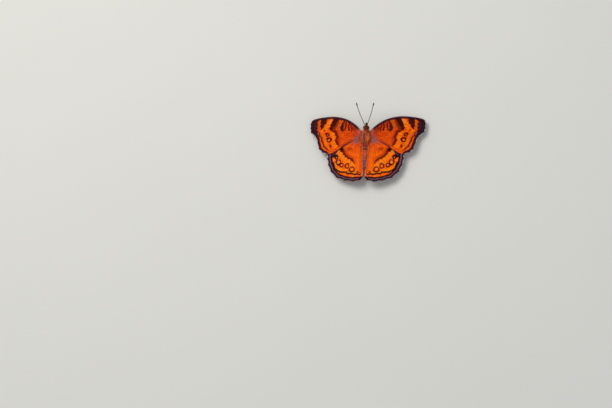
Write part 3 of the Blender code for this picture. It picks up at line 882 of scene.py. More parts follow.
def make_plan(root, costa, tips, rear_edge, veins, inner_veins, scallop):
    """The four edges of a flat wing, each starting at the root or at the rear, and its veins."""
    front, rear = (ROOT_X, root[0]), (ROOT_X, root[1])
    names = list(tips)
    vein_lines = [(*points, tips[name]) for name, points in veins.items()] + list(inner_veins)
    return {
        "base": np.array((rear, front)),
        "margin": scalloped(list(tips.values()), scallop)[::-1],
        "rear": smooth_curve((rear, *rear_edge, tips[names[-1]]), CURVE_STEP),
        "front": smooth_curve((front, *costa, tips[names[0]]), CURVE_STEP),
        "veins": [smooth_curve(line, CURVE_STEP) for line in vein_lines],
    }


FORE = make_plan(FORE_ROOT, FORE_COSTA, FORE_TIPS, FORE_DORSUM, FORE_VEINS, FORE_INNER_VEINS,
                 FORE_SCALLOP)
HIND = make_plan(HIND_ROOT, HIND_COSTA, HIND_TIPS, HIND_INNER, HIND_VEINS, (HIND_CELL_END,),
                 HIND_SCALLOP)
print("veins", len(FORE["veins"]), "and", len(HIND["veins"]))

# %% [markdown]
# The membrane is one square grid that is stretched to the four edges of the plan, so its last row of
# faces follows every scallop. A grid that was cut out along the outline would leave ragged triangles
# there. The grid is fine enough, about 0.12 mm, to carry the wing's markings point by point.

# %% Stretch a grid to a plan
WING_CELLS = 208


def stretch(plan, u, v):
    """Flat points for u from root to margin and v from rear to front."""
    rear, front = along(plan["rear"], u), along(plan["front"], u)
    base, margin = along(plan["base"], v), along(plan["margin"], v)
    u, v = u[:, None], v[:, None]
    corners = ((1 - u) * (1 - v) * plan["base"][0] + (1 - u) * v * plan["base"][-1]
               + u * (1 - v) * plan["margin"][0] + u * v * plan["margin"][-1])
    return (1 - v) * rear + v * front + (1 - u) * base + u * margin - corners


def wing_grid():
    """A square grid as a mesh, and the share of the way along each side for its points."""
    bm = bmesh.new()
    bmesh.ops.create_grid(bm, x_segments=WING_CELLS, y_segments=WING_CELLS, size=1.0)
    mesh = new_mesh(bm, "wing")
    shares = (points_of(mesh)[:, :2] + 1) / 2
    return mesh, shares[:, 0], shares[:, 1]


# %% [markdown]
# The markings are bands and spots, laid on from the ground colour up. Before that, the points are
# nudged by noise and pulled outward along the veins, which gives the ragged edges and the small arches
# between veins of the real thing.

# %% Eyespots and ragged edges
SLOW_NUDGE, QUICK_NUDGE, GRAIN = 0.2, 0.16, 0.05
VEIN_PULL, VEIN_REACH = 0.42, 0.5


def eyespot(tint, at, centre, size, ring, middle, pupil=None, ring_colour=None):
    """A dark ring round a coloured disc, with an optional small pupil."""
    lay(tint, spot(at, centre, (size[0] + ring, size[1] + ring), 0.25),
        DARK if ring_colour is None else ring_colour)
    lay(tint, spot(at, centre, size, 0.25), middle)
    if pupil is not None:
        place, radius, colour = pupil
        lay(tint, spot(at, place, (radius, radius), 0.2), colour)


def wander(flat, veins, seed):
    """The points nudged for painting, and a streaky mottling from about -1 to 1."""
    drift = np.array([(*noise.noise_vector(Vector((1.6 * x, 1.6 * y, seed))),
                       *noise.noise_vector(Vector((5 * x, 5 * y, seed)))) for x, y in flat])
    single = np.random.default_rng(int(seed)).standard_normal(flat.shape)
    reach, turn = np.linalg.norm(flat, axis=1), np.arctan2(flat[:, 1], flat[:, 0])
    streak = np.array([noise.noise(Vector((0.25 * r, 1.5 * r * a, seed))) for r, a in zip(reach, turn)])
    outward = flat / reach[:, None]
    at = flat + SLOW_NUDGE * drift[:, :2] + QUICK_NUDGE * drift[:, 3:5] + GRAIN * single
    at -= VEIN_PULL * np.exp(-(veins / VEIN_REACH) ** 2)[:, None] * outward
    return at, drift[:, 2] + drift[:, 5] + 1.3 * streak


def mottled(tint, mottle, dark, light):
    """The ground a little darker in some places and lighter in others."""
    lay(tint, soft_step(mottle * 1.4) * 0.22, dark)
    lay(tint, soft_step(-mottle * 1.4) * 0.28, light)


# %% Forewing markings
def paint_forewing(flat, veins, costa, margin, rear):
    """Colours for flat points, given their distance from veins and the three edges."""
    at, mottle = wander(flat, veins, 3.0)
    x, y = at.T
    tint = np.tile(RUST, (len(at), 1))
    lay(tint, soft_step((x - 4) / 9) * 0.55, ORANGE)
    lay(tint, soft_step((x - 13.2) / 3), ORANGE)
    lay(tint, spot(at, (13.6, 6.2), (2.4, 2.6), 1.6) * 0.85, TAN)
    lay(tint, band(at, ((16.8, 2.2, 0.9), (15.7, 0.2, 1.1), (15.8, -2.2, 1.1), (15.4, -4.2, 1.4),
                        (14.0, -4.9, 0.7)), 0.5), BRIGHT)
    lay(tint, band(at, ((22.6, 3.4, 0.8), (21.2, 0.3, 0.8), (20.4, -2.3, 0.8), (19.2, -4.4, 0.7),
                        (18.2, -5.6, 0.5)), 0.7) * 0.8, BRIGHT)
    lay(tint, band(at, ((16.7, 4.0, 0.7), (14.9, 2.8, 0.9), (13.8, 1.0, 1.0), (13.4, -0.8, 1.0),
                        (13.5, -2.4, 0.9), (12.7, -3.8, 0.6)), 1.9) * 0.8, BRICK)
    lay(tint, band(at, ((9.5, 7.2, 0.8), (9.3, 5.4, 1.0), (9.8, 3.4, 0.8)), 2.0) * 0.3, MAROON)
    lay(tint, soft_step(1 - costa / 2.6) * soft_step((13 - x) / 4) * 0.5, MAROON)
    mottled(tint, mottle, BRICK, AMBER)
    for line, colour, strength in (
            (((13.9, 8.9, 0.6), (15.2, 8.3, 1.25), (16.0, 6.9, 1.3), (17.0, 5.2, 1.05),
              (17.6, 3.9, 0.7)), DARK, 0.97),
            (((13.9, 7.7, 0.6), (15.0, 5.9, 0.8), (15.9, 4.6, 0.9)), MAROON, 0.8),
            (((17.5, 8.6, 0.85), (18.5, 7.0, 1.0), (19.5, 5.4, 1.0), (20.1, 4.3, 0.8)), BRIGHT, 1.0),
            (((17.3, 8.9, 0.7), (18.0, 7.6, 0.7)), PEACH, 0.5),
            (((21.0, 9.6, 1.5), (21.5, 7.7, 1.6), (22.1, 6.2, 1.1), (22.3, 4.9, 0.75),
              (22.4, 4.2, 0.4)), DARK, 0.95),
            (((24.2, 9.6, 0.9), (26.2, 8.7, 2.0), (26.3, 7.0, 2.3), (26.4, 5.0, 2.15), (26.1, 3.2, 1.6),
              (24.9, 1.6, 0.9), (24.1, -0.5, 0.5)), UMBER, 0.97),
            (((23.8, 8.2, 0.2), (24.2, 6.8, 0.34), (23.9, 5.2, 0.42), (23.3, 4.0, 0.5)), TAN, 0.85),
            (((8.4, 7.1, 0.4), (8.2, 5.8, 0.46), (8.6, 4.4, 0.54), (8.2, 2.9, 0.46)), MAROON, 0.98),
            (((6.8, 6.1, 0.28), (7.3, 4.6, 0.38), (6.9, 3.4, 0.38), (7.2, 2.3, 0.3)), MAROON, 0.96),
            (((10.1, 7.0, 0.36), (9.9, 5.7, 0.42), (10.4, 4.4, 0.44), (10.8, 3.3, 0.42)), MAROON, 0.97),
            (((11.0, 7.8, 0.38), (11.2, 6.4, 0.5), (11.8, 5.0, 0.68), (12.0, 3.8, 0.7),
              (11.5, 2.9, 0.5)), GARNET, 0.97),
            (((4.1, 4.2, 0.16), (4.5, 3.2, 0.2), (4.2, 2.2, 0.14)), MAROON, 0.7),
            (((5.0, 4.9, 0.18), (5.4, 3.6, 0.24), (5.2, 2.3, 0.18)), MAROON, 0.8),
            (((5.8, 5.4, 0.2), (6.3, 4.0, 0.27), (6.0, 2.5, 0.2)), MAROON, 0.85),
            (((17.6, 3.5, 0.45), (16.0, 3.0, 0.55), (15.0, 2.5, 0.75), (14.5, 1.2, 0.65),
              (14.1, 0.2, 0.6), (14.4, -1.0, 0.62), (14.4, -2.4, 0.58), (13.7, -3.7, 0.55),
              (12.9, -4.0, 0.35)), MAROON, 0.96),
            (((24.5, 3.4, 0.4), (23.3, 1.6, 0.36), (22.5, 0.2, 0.38), (21.8, -1.2, 0.42),
              (21.4, -2.6, 0.38), (20.8, -3.8, 0.4), (20.0, -4.9, 0.4), (19.0, -5.9, 0.32)),
             GARNET, 0.95),
            (((24.2, 2.0, 0.2), (23.1, 0.0, 0.24), (22.4, -2.0, 0.26), (21.7, -3.9, 0.3),
              (20.8, -5.5, 0.32), (19.5, -6.7, 0.32), (17.8, -7.3, 0.35)), ORANGE, 0.8)):
        lay(tint, band(at, line) * strength, colour)
    lay(tint, spot(at, (23.2, 8.75), (0.4, 0.4)) * 0.8, PEACH)
    lay(tint, spot(at, (20.9, 3.5), (0.42, 0.55)) * 0.85, MAROON)
    lay(tint, band(at, ((23.5, 3.4, 0.3), (22.3, 1.6, 0.35), (21.5, 0.2, 0.35), (20.8, -1.2, 0.3))) * 0.4,
        BRICK)
    lay(tint, spot(at, (24.2, 2.5), (0.35, 0.5)) * 0.6, MAUVE)
    lay(tint, spot(at, (17.35, -4.5), (0.55, 0.95)) * 0.9, MAROON)
    lay(tint, spot(at, (18.4, -6.4), (1.1, 0.3), turn=25) * 0.75, MAROON)
    eyespot(tint, at, (19.1, 1.2), (0.42, 0.46), 0.58, BRICK, ((19.3, 1.1), 0.3, TAN), GARNET)
    eyespot(tint, at, (18.1, -1.3), (0.7, 0.75), 0.62, BRICK, ((18.4, -1.45), 0.5, ORANGE))
    lay(tint, spot(at, (18.5, -1.5), (0.28, 0.28)) * 0.6, PEACH)
    # Painted sheen: a patchy violet reflection over the dark apex.
    lay(tint, spot(at, (26.5, 6.2), (1.4, 3.0), 1.0) * soft_step(0.5 + mottle) * 0.3, VIOLET)
    outer = margin + 0.13 * mottle
    width = np.interp(y, (-8.3, -7.6, -6.5, 0.0, 3.0), (0.4, 0.8, 1.2, 1.3, 1.6))
    lay(tint, soft_step((width - outer) / 0.3 + 0.5) * 0.98, DARK)
    lay(tint, soft_step(1 - np.abs(outer - 0.5 * width) / 0.35) * 0.6, VIOLET)
    lay(tint, soft_step((1.1 + 0.015 * x - costa) / 0.5 + 0.5) * 0.95, UMBER)
    lay(tint, soft_step((0.65 - costa) / 0.3 + 0.5) * 0.7, VIOLET)
    lay(tint, np.exp(-(veins / 0.1) ** 2) * 0.32, MAROON)
    strip = soft_step((0.35 + 0.025 * x - rear - 0.1 * mottle) / 0.4 + 0.5) * soft_step((13.2 - x) / 2)
    lay(tint, strip * (0.35 + 0.5 * soft_step((x - 5.0) / 4.0)), 0.6 * VIOLET)
    lay(tint, strip * soft_step((8.5 - x) / 4.0) * 0.8, MAUVE)
    lay(tint, spot(at, (3.7, -0.8), (2.4, 0.8), 1.0, -22) * 0.7, MAUVE)
    lay(tint, spot(flat, (3.0, 2.1), (0.9, 1.2), 0.8) * 0.7, BLUSH)
    return tint


# %% Hindwing markings
def paint_hindwing(flat, veins, costa, margin, rear):
    """Colours for flat points, given their distance from veins and the three edges."""
    at, mottle = wander(flat, veins, 11.0)
    x, y = at.T
    tint = np.tile(FLAME, (len(at), 1))
    lay(tint, soft_step((y + 8) / 6) * 0.4, RUST)
    lay(tint, soft_step((3.6 - x) / 2.5) * 0.35, AMBER)
    lay(tint, spot(at, (7.2, -6.3), (1.5, 1.0), 1.3, 35) * 0.7, BRICK)
    for line in (((2.0, -4.0, 0.16), (2.1, -8.0, 0.1)), ((3.1, -4.2, 0.16), (3.4, -9.0, 0.16)),
                 ((4.4, -5.4, 0.1), (4.9, -8.0, 0.2), (5.0, -10.0, 0.1))):
        lay(tint, band(at, line) * 0.45, BRICK)
    lay(tint, band(at, ((13.2, -7.2, 1.0), (11.4, -9.0, 1.2), (9.6, -10.7, 1.25), (8.0, -11.7, 1.1),
                        (6.6, -12.7, 0.8), (5.4, -14.0, 0.4)), 0.6), GLOW)
    lay(tint, band(at, ((14.8, -13.2, 0.6), (13.6, -15.3, 0.8), (11.4, -16.2, 0.9), (8.8, -16.6, 0.8),
                        (7.4, -17.2, 0.6), (4.6, -17.9, 0.5), (3.4, -16.8, 0.4)), 0.7), AMBER)
    lay(tint, band(at, ((9.8, -12.4, 0.7), (7.0, -14.0, 0.7), (4.3, -15.0, 0.5)), 1.0) * 0.7, AMBER)
    lay(tint, band(at, ((11.2, -5.0, 0.6), (9.7, -6.8, 0.7), (8.6, -8.6, 0.7), (7.2, -9.6, 0.6),
                        (5.9, -10.3, 0.5), (5.0, -11.7, 0.4)), 1.5) * 0.75, BRICK)
    mottled(tint, mottle, BRICK, AMBER)
    for line, colour, strength in (
            (((12.6, -5.4, 0.9), (11.4, -6.4, 0.95), (10.6, -7.4, 0.7), (9.9, -8.6, 0.62),
              (8.9, -9.7, 0.55), (7.6, -10.5, 0.55), (6.5, -10.9, 0.5), (5.7, -12.1, 0.48),
              (4.7, -13.4, 0.3)), MAROON, 0.95),
            (((13.0, -5.2, 0.7), (12.0, -5.8, 0.8), (11.0, -6.3, 0.5)), DARK, 0.9),
            (((14.4, -6.9, 0.7), (15.3, -8.2, 1.0), (16.6, -9.0, 1.1)), UMBER, 0.95),
            (((12.8, -5.9, 0.3), (14.8, -7.6, 0.6), (16.2, -8.6, 0.7)), VIOLET, 0.6),
            (((13.6, -8.9, 0.25), (14.4, -8.8, 0.5), (15.4, -9.7, 0.5)), DARK, 0.9),
            (((15.3, -12.5, 0.42), (15.3, -13.6, 0.4), (14.6, -15.0, 0.42), (13.6, -16.3, 0.42),
              (12.2, -17.0, 0.46), (10.4, -17.4, 0.46), (9.1, -17.5, 0.4), (7.8, -18.0, 0.48),
              (6.0, -18.4, 0.42), (4.4, -18.6, 0.42), (2.6, -18.7, 0.42), (1.6, -18.5, 0.36)),
             DARK, 0.97),
            (((15.2, -15.0, 0.2), (13.9, -16.9, 0.36), (12.0, -18.2, 0.36), (10.0, -18.6, 0.35),
              (7.6, -19.0, 0.3), (5.0, -19.6, 0.35), (3.0, -19.6, 0.3)), FLAME, 0.9)):
        lay(tint, band(at, line) * strength, colour)
    lay(tint, spot(at, (4.7, -19.5), (1.1, 0.3), 0.3) * 0.5, PEACH)
    outer = margin + 0.13 * mottle
    width = np.interp(x, (1.0, 5.0, 12.0, 16.0), (1.6, 1.95, 2.0, 2.3))
    lay(tint, soft_step((width - outer) / 0.3 + 0.5) * 0.98, DARK)
    lay(tint, soft_step(1 - np.abs(outer - 0.46 * width) / (0.3 * width)) * 0.9, VIOLET)
    pale = 0.45 + 0.35 * soft_step((y + 16) / 4)
    lay(tint, soft_step(1 - np.abs(outer - 0.46 * width) / 0.45) * pale, LILAC)
    lay(tint, spot(at, (15.3, -11.3), (0.55, 0.62)) * 0.55, PEACH)
    eyespot(tint, at, (14.1, -10.0), (0.3, 0.3), 0.75, PEACH)
    pupil = 0.35 * PEACH + 0.65 * GLOW
    eyespot(tint, at, (12.9, -12.35), (0.75, 0.8), 0.65, GLOW, ((12.6, -12.1), 0.3, pupil), GARNET)
    eyespot(tint, at, (11.3, -13.95), (0.58, 0.62), 0.6, ORANGE, ((11.15, -13.8), 0.26, PEACH), GARNET)
    eyespot(tint, at, (8.4, -14.4), (0.62, 0.9), 0.57, ORANGE, ((8.5, -14.6), 0.36, AMBER), GARNET)
    eyespot(tint, at, (5.9, -16.3), (0.9, 0.9), 0.6, BRIGHT, ((6.2, -16.1), 0.25, pupil), GARNET)
    lay(tint, spot(at, (5.9, -17.2), (0.75, 0.32)) * 0.85, MAROON)
    eyespot(tint, at, (2.8, -17.6), (0.3, 0.3), 0.34, ORANGE, None, MAROON)
    lay(tint, spot(at, (1.5, -19.4), (0.5, 0.2)) * 0.6, LILAC)
    lay(tint, np.exp(-(veins / 0.1) ** 2) * 0.3, MAROON)
    lay(tint, soft_step(1 - np.abs(rear - 0.8) / 0.35) * soft_step((-3.0 - y) / 2.0) * 0.35, MAROON)
    lay(tint, soft_step((0.42 - rear) / 0.3 + 0.5) * 0.7, BLUSH)
    lay(tint, spot(at, (1.2, -20.6), (1.1, 1.0), 0.5) * 0.95, DARK)
    lay(tint, spot(at, (3.8, -2.1), (2.5, 1.0), 1.2, -25) * 0.85, MAUVE)
    return tint


OCHRE = shade(158, 108, 62)
UNDERSIDE_SHARE = 0.38


def underside(tint):
    """The duller underside: the same markings, faint on ochre."""
    return OCHRE + (tint - OCHRE) * UNDERSIDE_SHARE

# %% [markdown]
# Colour on a wing comes from scales of about a tenth of a millimetre that overlap like roof tiles, in
# rows across the wing. They are far too many to model, so one node group draws them in each wing
# material: every scale gets its own tone and a small rise, and faint streaks follow the veins. It reads
# an attribute that says how far out and how far round each point of the wing lies, so the rows fan out
# from the hinge.

# %% Scale rows
def make_scale_group():
    tree, given, result = new_group(
        "scale_rows", {"Place": "Vector", "Colour": "Color", "Rows": "Float", "Contrast": "Float"},
        {"Colour": "Color", "Height": "Float", "Roughness": "Float"})
    rows = times(tree, given["Place"], given["Rows"])
    cells = add_node(tree, "TexVoronoi", {"Vector": stretched(tree, rows, 1.7, 1.0), "Scale": 1.0,
                                          "Randomness": 0.75}, voronoi_dimensions="2D").outputs
    tone = add_node(tree, "SeparateColor", {0: cells["Color"]}).outputs
    streaks = add_node(tree, "TexNoise", {"Vector": stretched(tree, given["Place"], 5.0, 0.5, 7.0),
                                          "Scale": 1.0, "Detail": 3.0}).outputs[0]
    jitter = maths(tree, "MULTIPLY", spread(tree, tone[0], -0.5, 0.5), given["Contrast"])
    factor = maths(tree, "MULTIPLY", spread(tree, streaks, 0.72, 1.3, 0.25, 0.75),
                   maths(tree, "ADD", jitter, 1.0))
    feed(tree, result, {"Colour": times(tree, given["Colour"], factor),
                        "Height": spread(tree, cells["Distance"], 1.0, 0.0, 0.0, 0.8),
                        "Roughness": spread(tree, tone[1], 0.42, 0.66)})
    return tree


SCALE_ROWS = make_scale_group()


ROWS_PER_MM, SCALE_CONTRAST = 9.0, 0.35


def wing_material(name, colours):
    """A scaled finish for one side of a wing."""
    material, tree = new_material(name, {"Specular IOR Level": 0.04})
    scales = add_node(tree, "Group", {"Rows": ROWS_PER_MM, "Contrast": SCALE_CONTRAST,
                                      "Colour": attribute(tree, colours),
                                      "Place": attribute(tree, "lie", "Vector")},
                      node_tree=SCALE_ROWS).outputs
    finish_shader(tree, scales["Colour"], scales["Roughness"], scales["Height"], 0.35, 0.04)
    return material


WING_UPPER = wing_material("wing_upper_scales", "tint")
WING_UNDER = wing_material("wing_under_scales", "under")
print("node group with", len(SCALE_ROWS.nodes), "nodes")

# %% [markdown]
# The membrane is lifted from the flat plan: it droops from the hinge, arches a little, stands up along
# each vein and sags between veins. The forewing lies over the hindwing, and the two come close where
# they overlap. A Solidify modifier gives it two sides and a rim, and the copy that is kept has a map
# with each side in its own half, so a baked picture has room for both.

# %% Lift the membrane
DROOP = math.radians(-9.0)
CAMBER, CAMBER_SPAN = 0.5, 26.0
MEMBRANE = 0.13
VEIN_RIDGE, VEIN_HALF_WIDTH = 0.13, 0.2
SAG = 0.16


def measure(plan, flat):
    """Distances of flat points from the veins, the front, the outer margin and the rear."""
    veins = np.min([nearest(flat, line)[0] for line in plan["veins"]], axis=0)
    return (veins, *(nearest(flat, plan[edge])[0] for edge in ("front", "margin", "rear")))


def lift(flat, layer):
    """Flat points, with the height of each over the wing's middle plane, about the hinge."""
    out = flat[:, 0] - THORAX_HALF_WIDTH
    arch = CAMBER * np.cos(math.pi * (flat[:, 1] + 6) / 34) * out / CAMBER_SPAN
    return np.stack((THORAX_HALF_WIDTH + out * math.cos(DROOP), flat[:, 1],
                     out * math.sin(DROOP) + arch + layer), axis=1)


def relief(veins):
    """Height of the membrane for its distance from a vein."""
    return VEIN_RIDGE * np.exp(-(veins / VEIN_HALF_WIDTH) ** 2) - SAG * soft_step(veins / 1.6)


def forewing_layer(distances):
    """The forewing leans down to the hindwing along its rear edge."""
    veins, costa, margin, rear = distances
    return 0.5 - 0.34 * soft_step(1 - rear / 4.5) - 0.2 * soft_step(1 - costa / 0.9) + relief(veins)


def hindwing_layer(distances):
    """The hindwing rises to the forewing along its front edge."""
    veins, costa, margin, rear = distances
    trough = 0.5 * soft_step(1 - rear / 2.5)
    return -0.36 + 0.3 * soft_step(1 - costa / 4.0) - trough + relief(veins)


def two_sided(mesh, materials):
    """The sheet with a thickness, and a map with the upper side on the left half."""
    sheet = add_object("sheet", mesh)
    for material in materials:
        mesh.materials.append(material)
    solid = sheet.modifiers.new("membrane", "SOLIDIFY")
    solid.thickness, solid.offset = MEMBRANE * MM, 0.0
    solid.material_offset = 1
    count = len(mesh.vertices)
    thick = bpy.data.meshes.new_from_object(sheet.evaluated_get(
        bpy.context.evaluated_depsgraph_get()))
    bpy.data.objects.remove(sheet)
    corners = np.empty(len(thick.loops), dtype=np.int32)
    thick.loops.foreach_get("vertex_index", corners)
    places = points_of(thick).astype(np.float32)
    low, high = places.min(axis=0), places.max(axis=0)
    share = (places[:, :2] - low[:2]) / (high[:2] - low[:2])
    share[:, 0] = 0.01 + 0.47 * share[:, 0] + np.where(np.arange(len(places)) < count, 0, 0.5)
    share[:, 1] = 0.01 + 0.98 * share[:, 1]
    thick.uv_layers.new(name="OFBake").data.foreach_set("uv", share[corners].ravel())
    return thick


def make_wing(kind, plan, paint, layer):
    """The right and left wings of one pair."""
    mesh, u, v = wing_grid()
    flat = stretch(plan, u, v)
    distances = measure(plan, flat)
    tint = paint(flat, *distances)
    reach = np.linalg.norm(flat, axis=1)
    lie = np.stack((reach, reach * np.arctan2(flat[:, 1], flat[:, 0]), 0 * reach), axis=1)
    put_attribute(mesh, "tint", "FLOAT_COLOR", opaque(tint))
    put_attribute(mesh, "under", "FLOAT_COLOR", opaque(underside(tint)))
    put_attribute(mesh, "lie", "FLOAT_VECTOR", lie)
    places = lift(flat, layer(distances))
    for side, sign in SIDES:
        half = mesh.copy()
        half.vertices.foreach_set("co", to_scene(places * (sign, 1, 1)).ravel())
        if sign < 0:
            half.flip_normals()
        half.update()
        thick = two_sided(half, (WING_UPPER, WING_UNDER))
        name = f"{kind}_{side}"
        piece = finish_piece(f"{name}_scaled", thick, (WING_UPPER, WING_UNDER), (name,))
        print(piece.name, len(thick.polygons), "faces")


make_wing("forewing", FORE, paint_forewing, forewing_layer)
make_wing("hindwing", HIND, paint_hindwing, hindwing_layer)

# %% [markdown]
# The coat is real geometry: thousands of thin, tapered tufts with a three-cornered section, each closed
# at its root and tip. Hair particles would look alike in Blender, but an export drops them. One
# function builds a whole coat from arrays: where each tuft grows, which way it lies, how long, wide and
# thick it is and what colour it has. A wide, thin tuft is a scale and a narrow one is a lock of hair.
# Its map puts each tuft on a small patch at its root's place on the unrolled skin.

# %% Tufts from arrays
PATCH = 0.0015              # half the width of a tuft's patch on the map
EVEN_STEPS = (0.7548776662, 0.5698402910)
# Painted shade: a tuft is darker at its root, deep in the coat, and lighter at its tip.
TUFT_DEPTH_SHADE = np.array((0.75, 0.75, 0.75, 1.0, 1.0, 1.0, 1.2))      # darker at the root
TUFT_FACES = np.array([(0, 1, 2)] + [face for k in range(3) for face in (
    (k, 3 + k, 3 + (k + 1) % 3), (k, 3 + (k + 1) % 3, (k + 1) % 3), (3 + k, 6, 3 + (k + 1) % 3))])


def even(count, seed):
    """Evenly scattered pairs of shares, the same in every run."""
    start = np.random.default_rng(seed).random(2)
    return (start + np.outer(np.arange(count), EVEN_STEPS)) % 1.0


def unit(vectors):
    return vectors / np.maximum(np.linalg.norm(vectors, axis=1), 1e-9)[:, None]


def laid_flat(ways, normals):
    """Directions pressed down onto a surface."""
    return unit(ways - np.sum(ways * normals, axis=1)[:, None] * normals)


def coat_of(roots, normals, ways, tint, **sizes):
    """A coat as a dictionary of arrays; its length, width, thick and rise may be numbers."""
    even_sizes = {name: np.broadcast_to(size, len(roots)) for name, size in sizes.items()}
    return {"roots": roots, "normals": normals, "ways": ways, "tint": tint, **even_sizes}


def make_coat(name, node, slot, coat, unroll, material):
    """Tufts from a dictionary of arrays, in millimetres about the hinge."""
    roots, normals, ways = coat["roots"], coat["normals"], coat["ways"]
    count = len(roots)
    length, width, thick, rise = (coat[k][:, None] for k in ("length", "width", "thick", "rise"))
    across = unit(np.cross(ways, normals))
    middle = roots + length * (0.5 * ways + 0.62 * rise * normals)
    tips = roots + length * (0.96 * ways + rise * normals)
    corners = (across * 0.5 * width, normals * thick, -across * 0.5 * width)
    points = np.stack([roots - 0.06 * normals + 0.6 * c for c in corners]
                      + [middle + 0.9 * c for c in corners] + [tips], axis=1)
    mesh = bpy.data.meshes.new(name)
    faces = (TUFT_FACES[None] + 7 * np.arange(count)[:, None, None]).reshape(-1, 3)
    mesh.from_pydata(to_scene(points.reshape(-1, 3)).tolist(), [], faces.tolist())
    # Each tuft's colour is darkened towards its root as painted shade, and lightened at its tip.
    tint = coat["tint"][:, None, :] * TUFT_DEPTH_SHADE[None, :, None]
    put_attribute(mesh, "tint", "FLOAT_COLOR", opaque(tint.reshape(-1, 3)))
    offsets = PATCH * np.array([(s, t) for t in (-1, 0) for s in (-1, 0, 1)] + [(0, 1)])
    shares = 0.01 + 0.98 * unroll[:, None, :] + offsets[None]
    mesh.uv_layers.new(name="OFBake").data.foreach_set(
        "uv", shares.reshape(-1, 2)[faces.ravel()].astype(np.float32).ravel())
    finish_piece(name, mesh, (material,), (node,))
    print(name, count, "tufts,", len(faces), "triangles")


# %% [markdown]
# Hair is softly shiny along its length, so its finish is a moderate roughness with a little sheen. Fine
# noise makes neighbouring tufts differ, and slow noise makes whole locks lighter or darker.

# %% Hair finish
def make_hair_group():
    tree, given, result = new_group("hair_tone", {"Colour": "Color", "Contrast": "Float"},
                                    {"Colour": "Color", "Roughness": "Float"})
    place = object_place(tree)
    fine, slow = (add_node(tree, "TexNoise", {"Vector": place, "Scale": size}).outputs[0]
                  for size in (5000.0, 900.0))
    both = maths(tree, "ADD", *(spread(tree, grain, -0.5, 0.5, 0.3, 0.7) for grain in (fine, slow)))
    factor = maths(tree, "ADD", maths(tree, "MULTIPLY", both, given["Contrast"]), 1.0)
    feed(tree, result, {"Colour": times(tree, given["Colour"], factor),
                        "Roughness": spread(tree, fine, 0.45, 0.7)})
    return tree


HAIR_TONE = make_hair_group()


def hair_material(name, contrast, sheen):
    material, tree = new_material(name, {"Specular IOR Level": 0.25, "Sheen Weight": sheen})
    tone = add_node(tree, "Group", {"Contrast": contrast, "Colour": attribute(tree, "tint")},
                    node_tree=HAIR_TONE).outputs
    finish_shader(tree, tone["Colour"], tone["Roughness"])
    return material


BODY_HAIR = hair_material("body_hair", 0.5, 0.1)
SCALE_COAT = hair_material("loose_scales", 0.4, 0.05)

# %% [markdown]
# The thorax has the longest hair, swept back and a little outward over the wing roots. The abdomen is
# tiled with short flat scales, with thin hair between them. The head has a short upright crest between
# the feelers, a bristly face and a pale rim round each eye.

# %% Body coat
def skin_roots(count, span, seed):
    """Even roots on a stretch of the body, with the normals there and their unrolled place."""
    shares = even(count, seed)
    y = np.linspace(*span, 200)
    width, middle, half = body_size(y)
    total = np.concatenate(([0.0], np.cumsum(width[1:] + half[1:])))
    y = np.interp(shares[:, 0], total / total[-1], y)
    angle = 2 * math.pi * shares[:, 1]
    roots, normals = on_skin(y, angle)
    unroll = np.stack((shares[:, 1], (y - ABDOMEN_REAR) / BODY_LENGTH), axis=1)
    return roots, normals, unroll


def outside_eyes(places, margin=0.0):
    """True for points that no eye covers."""
    clear = np.ones(len(places), dtype=bool)
    for sign in (1, -1):
        offset = (places - np.array(EYE_CENTRE) * (sign, 1, 1)) / (np.array(EYE_RADII) + margin)
        clear &= np.linalg.norm(offset, axis=1) > 1.0
    return clear


def mixed(tint, other, rng, share):
    """Some of the colours swapped for another, and each a little lighter or darker."""
    tint = tint.copy()
    swap = rng.random(len(tint)) < share
    tint[swap] = 0.35 * tint[swap] + 0.65 * other
    return tint * (0.75 + 0.5 * rng.random(len(tint)))[:, None]


def sway(roots, size):
    """A slow drift of direction over the coat, so that neighbouring tufts make locks."""
    return np.array([noise.noise_vector(Vector(p) / size) for p in roots])


def thorax_coat(count, seed, long_hair):
    rng = np.random.default_rng(seed)
    roots, normals, unroll = skin_roots(count, (3.3, -3.9), seed)
    x, y = roots.T[:2]
    outward = np.sign(x) * soft_step(np.abs(x) / 1.3) * np.interp(y, (-3.5, 0.0, 2.5), (0.1, 0.25, 0.3))
    ways = np.stack((outward, -1.0 + 0.0 * x, 0.0 * x), axis=1)
    ways += (0.7 if long_hair else 0.4) * sway(roots, 0.5)
    ways = laid_flat(ways + 0.12 * rng.standard_normal(ways.shape), normals)
    base = (0.9, 1.0) if long_hair else (0.5, 0.4)
    length = (base[0] + base[1] * rng.random(count)) * np.interp(y, (-4, -1.5, 2.0, 3.2),
                                                                (0.45, 1.0, 1.0, 0.7))
    tint = mixed(body_colour(roots), ROSE if long_hair else CHESTNUT, rng, 0.25)
    rise = 0.16 + 0.35 * rng.random(count) if long_hair else 0.12 + 0.15 * rng.random(count)
    rise += 0.3 * soft_step((y - 2.2) / 0.8)
    return coat_of(roots, normals, ways, tint * (1.4 if long_hair else 0.8), length=length,
                   width=0.055 if long_hair else 0.08, thick=0.035, rise=rise), unroll


def abdomen_coat(count, seed, hair):
    rng = np.random.default_rng(seed)
    roots, normals, unroll = skin_roots(count, (-3.9, ABDOMEN_REAR + 0.02), seed)
    ways = np.tile((0.0, -1.0, 0.0), (count, 1)) + (0.3 if hair else 0.12) * rng.standard_normal((count, 3))
    ways = laid_flat(ways, normals)
    tint = 1.3 * mixed(body_colour(roots), APRICOT, rng, 0.12)
    size = 0.55 + 0.3 * rng.random(count) if hair else 0.4 + 0.1 * rng.random(count)
    rise = (0.15 if hair else 0.05) + 0.12 * rng.random(count)
    return coat_of(roots, normals, ways, tint, length=size, width=0.045 if hair else 0.2,
                   thick=0.03 if hair else 0.016, rise=rise), unroll


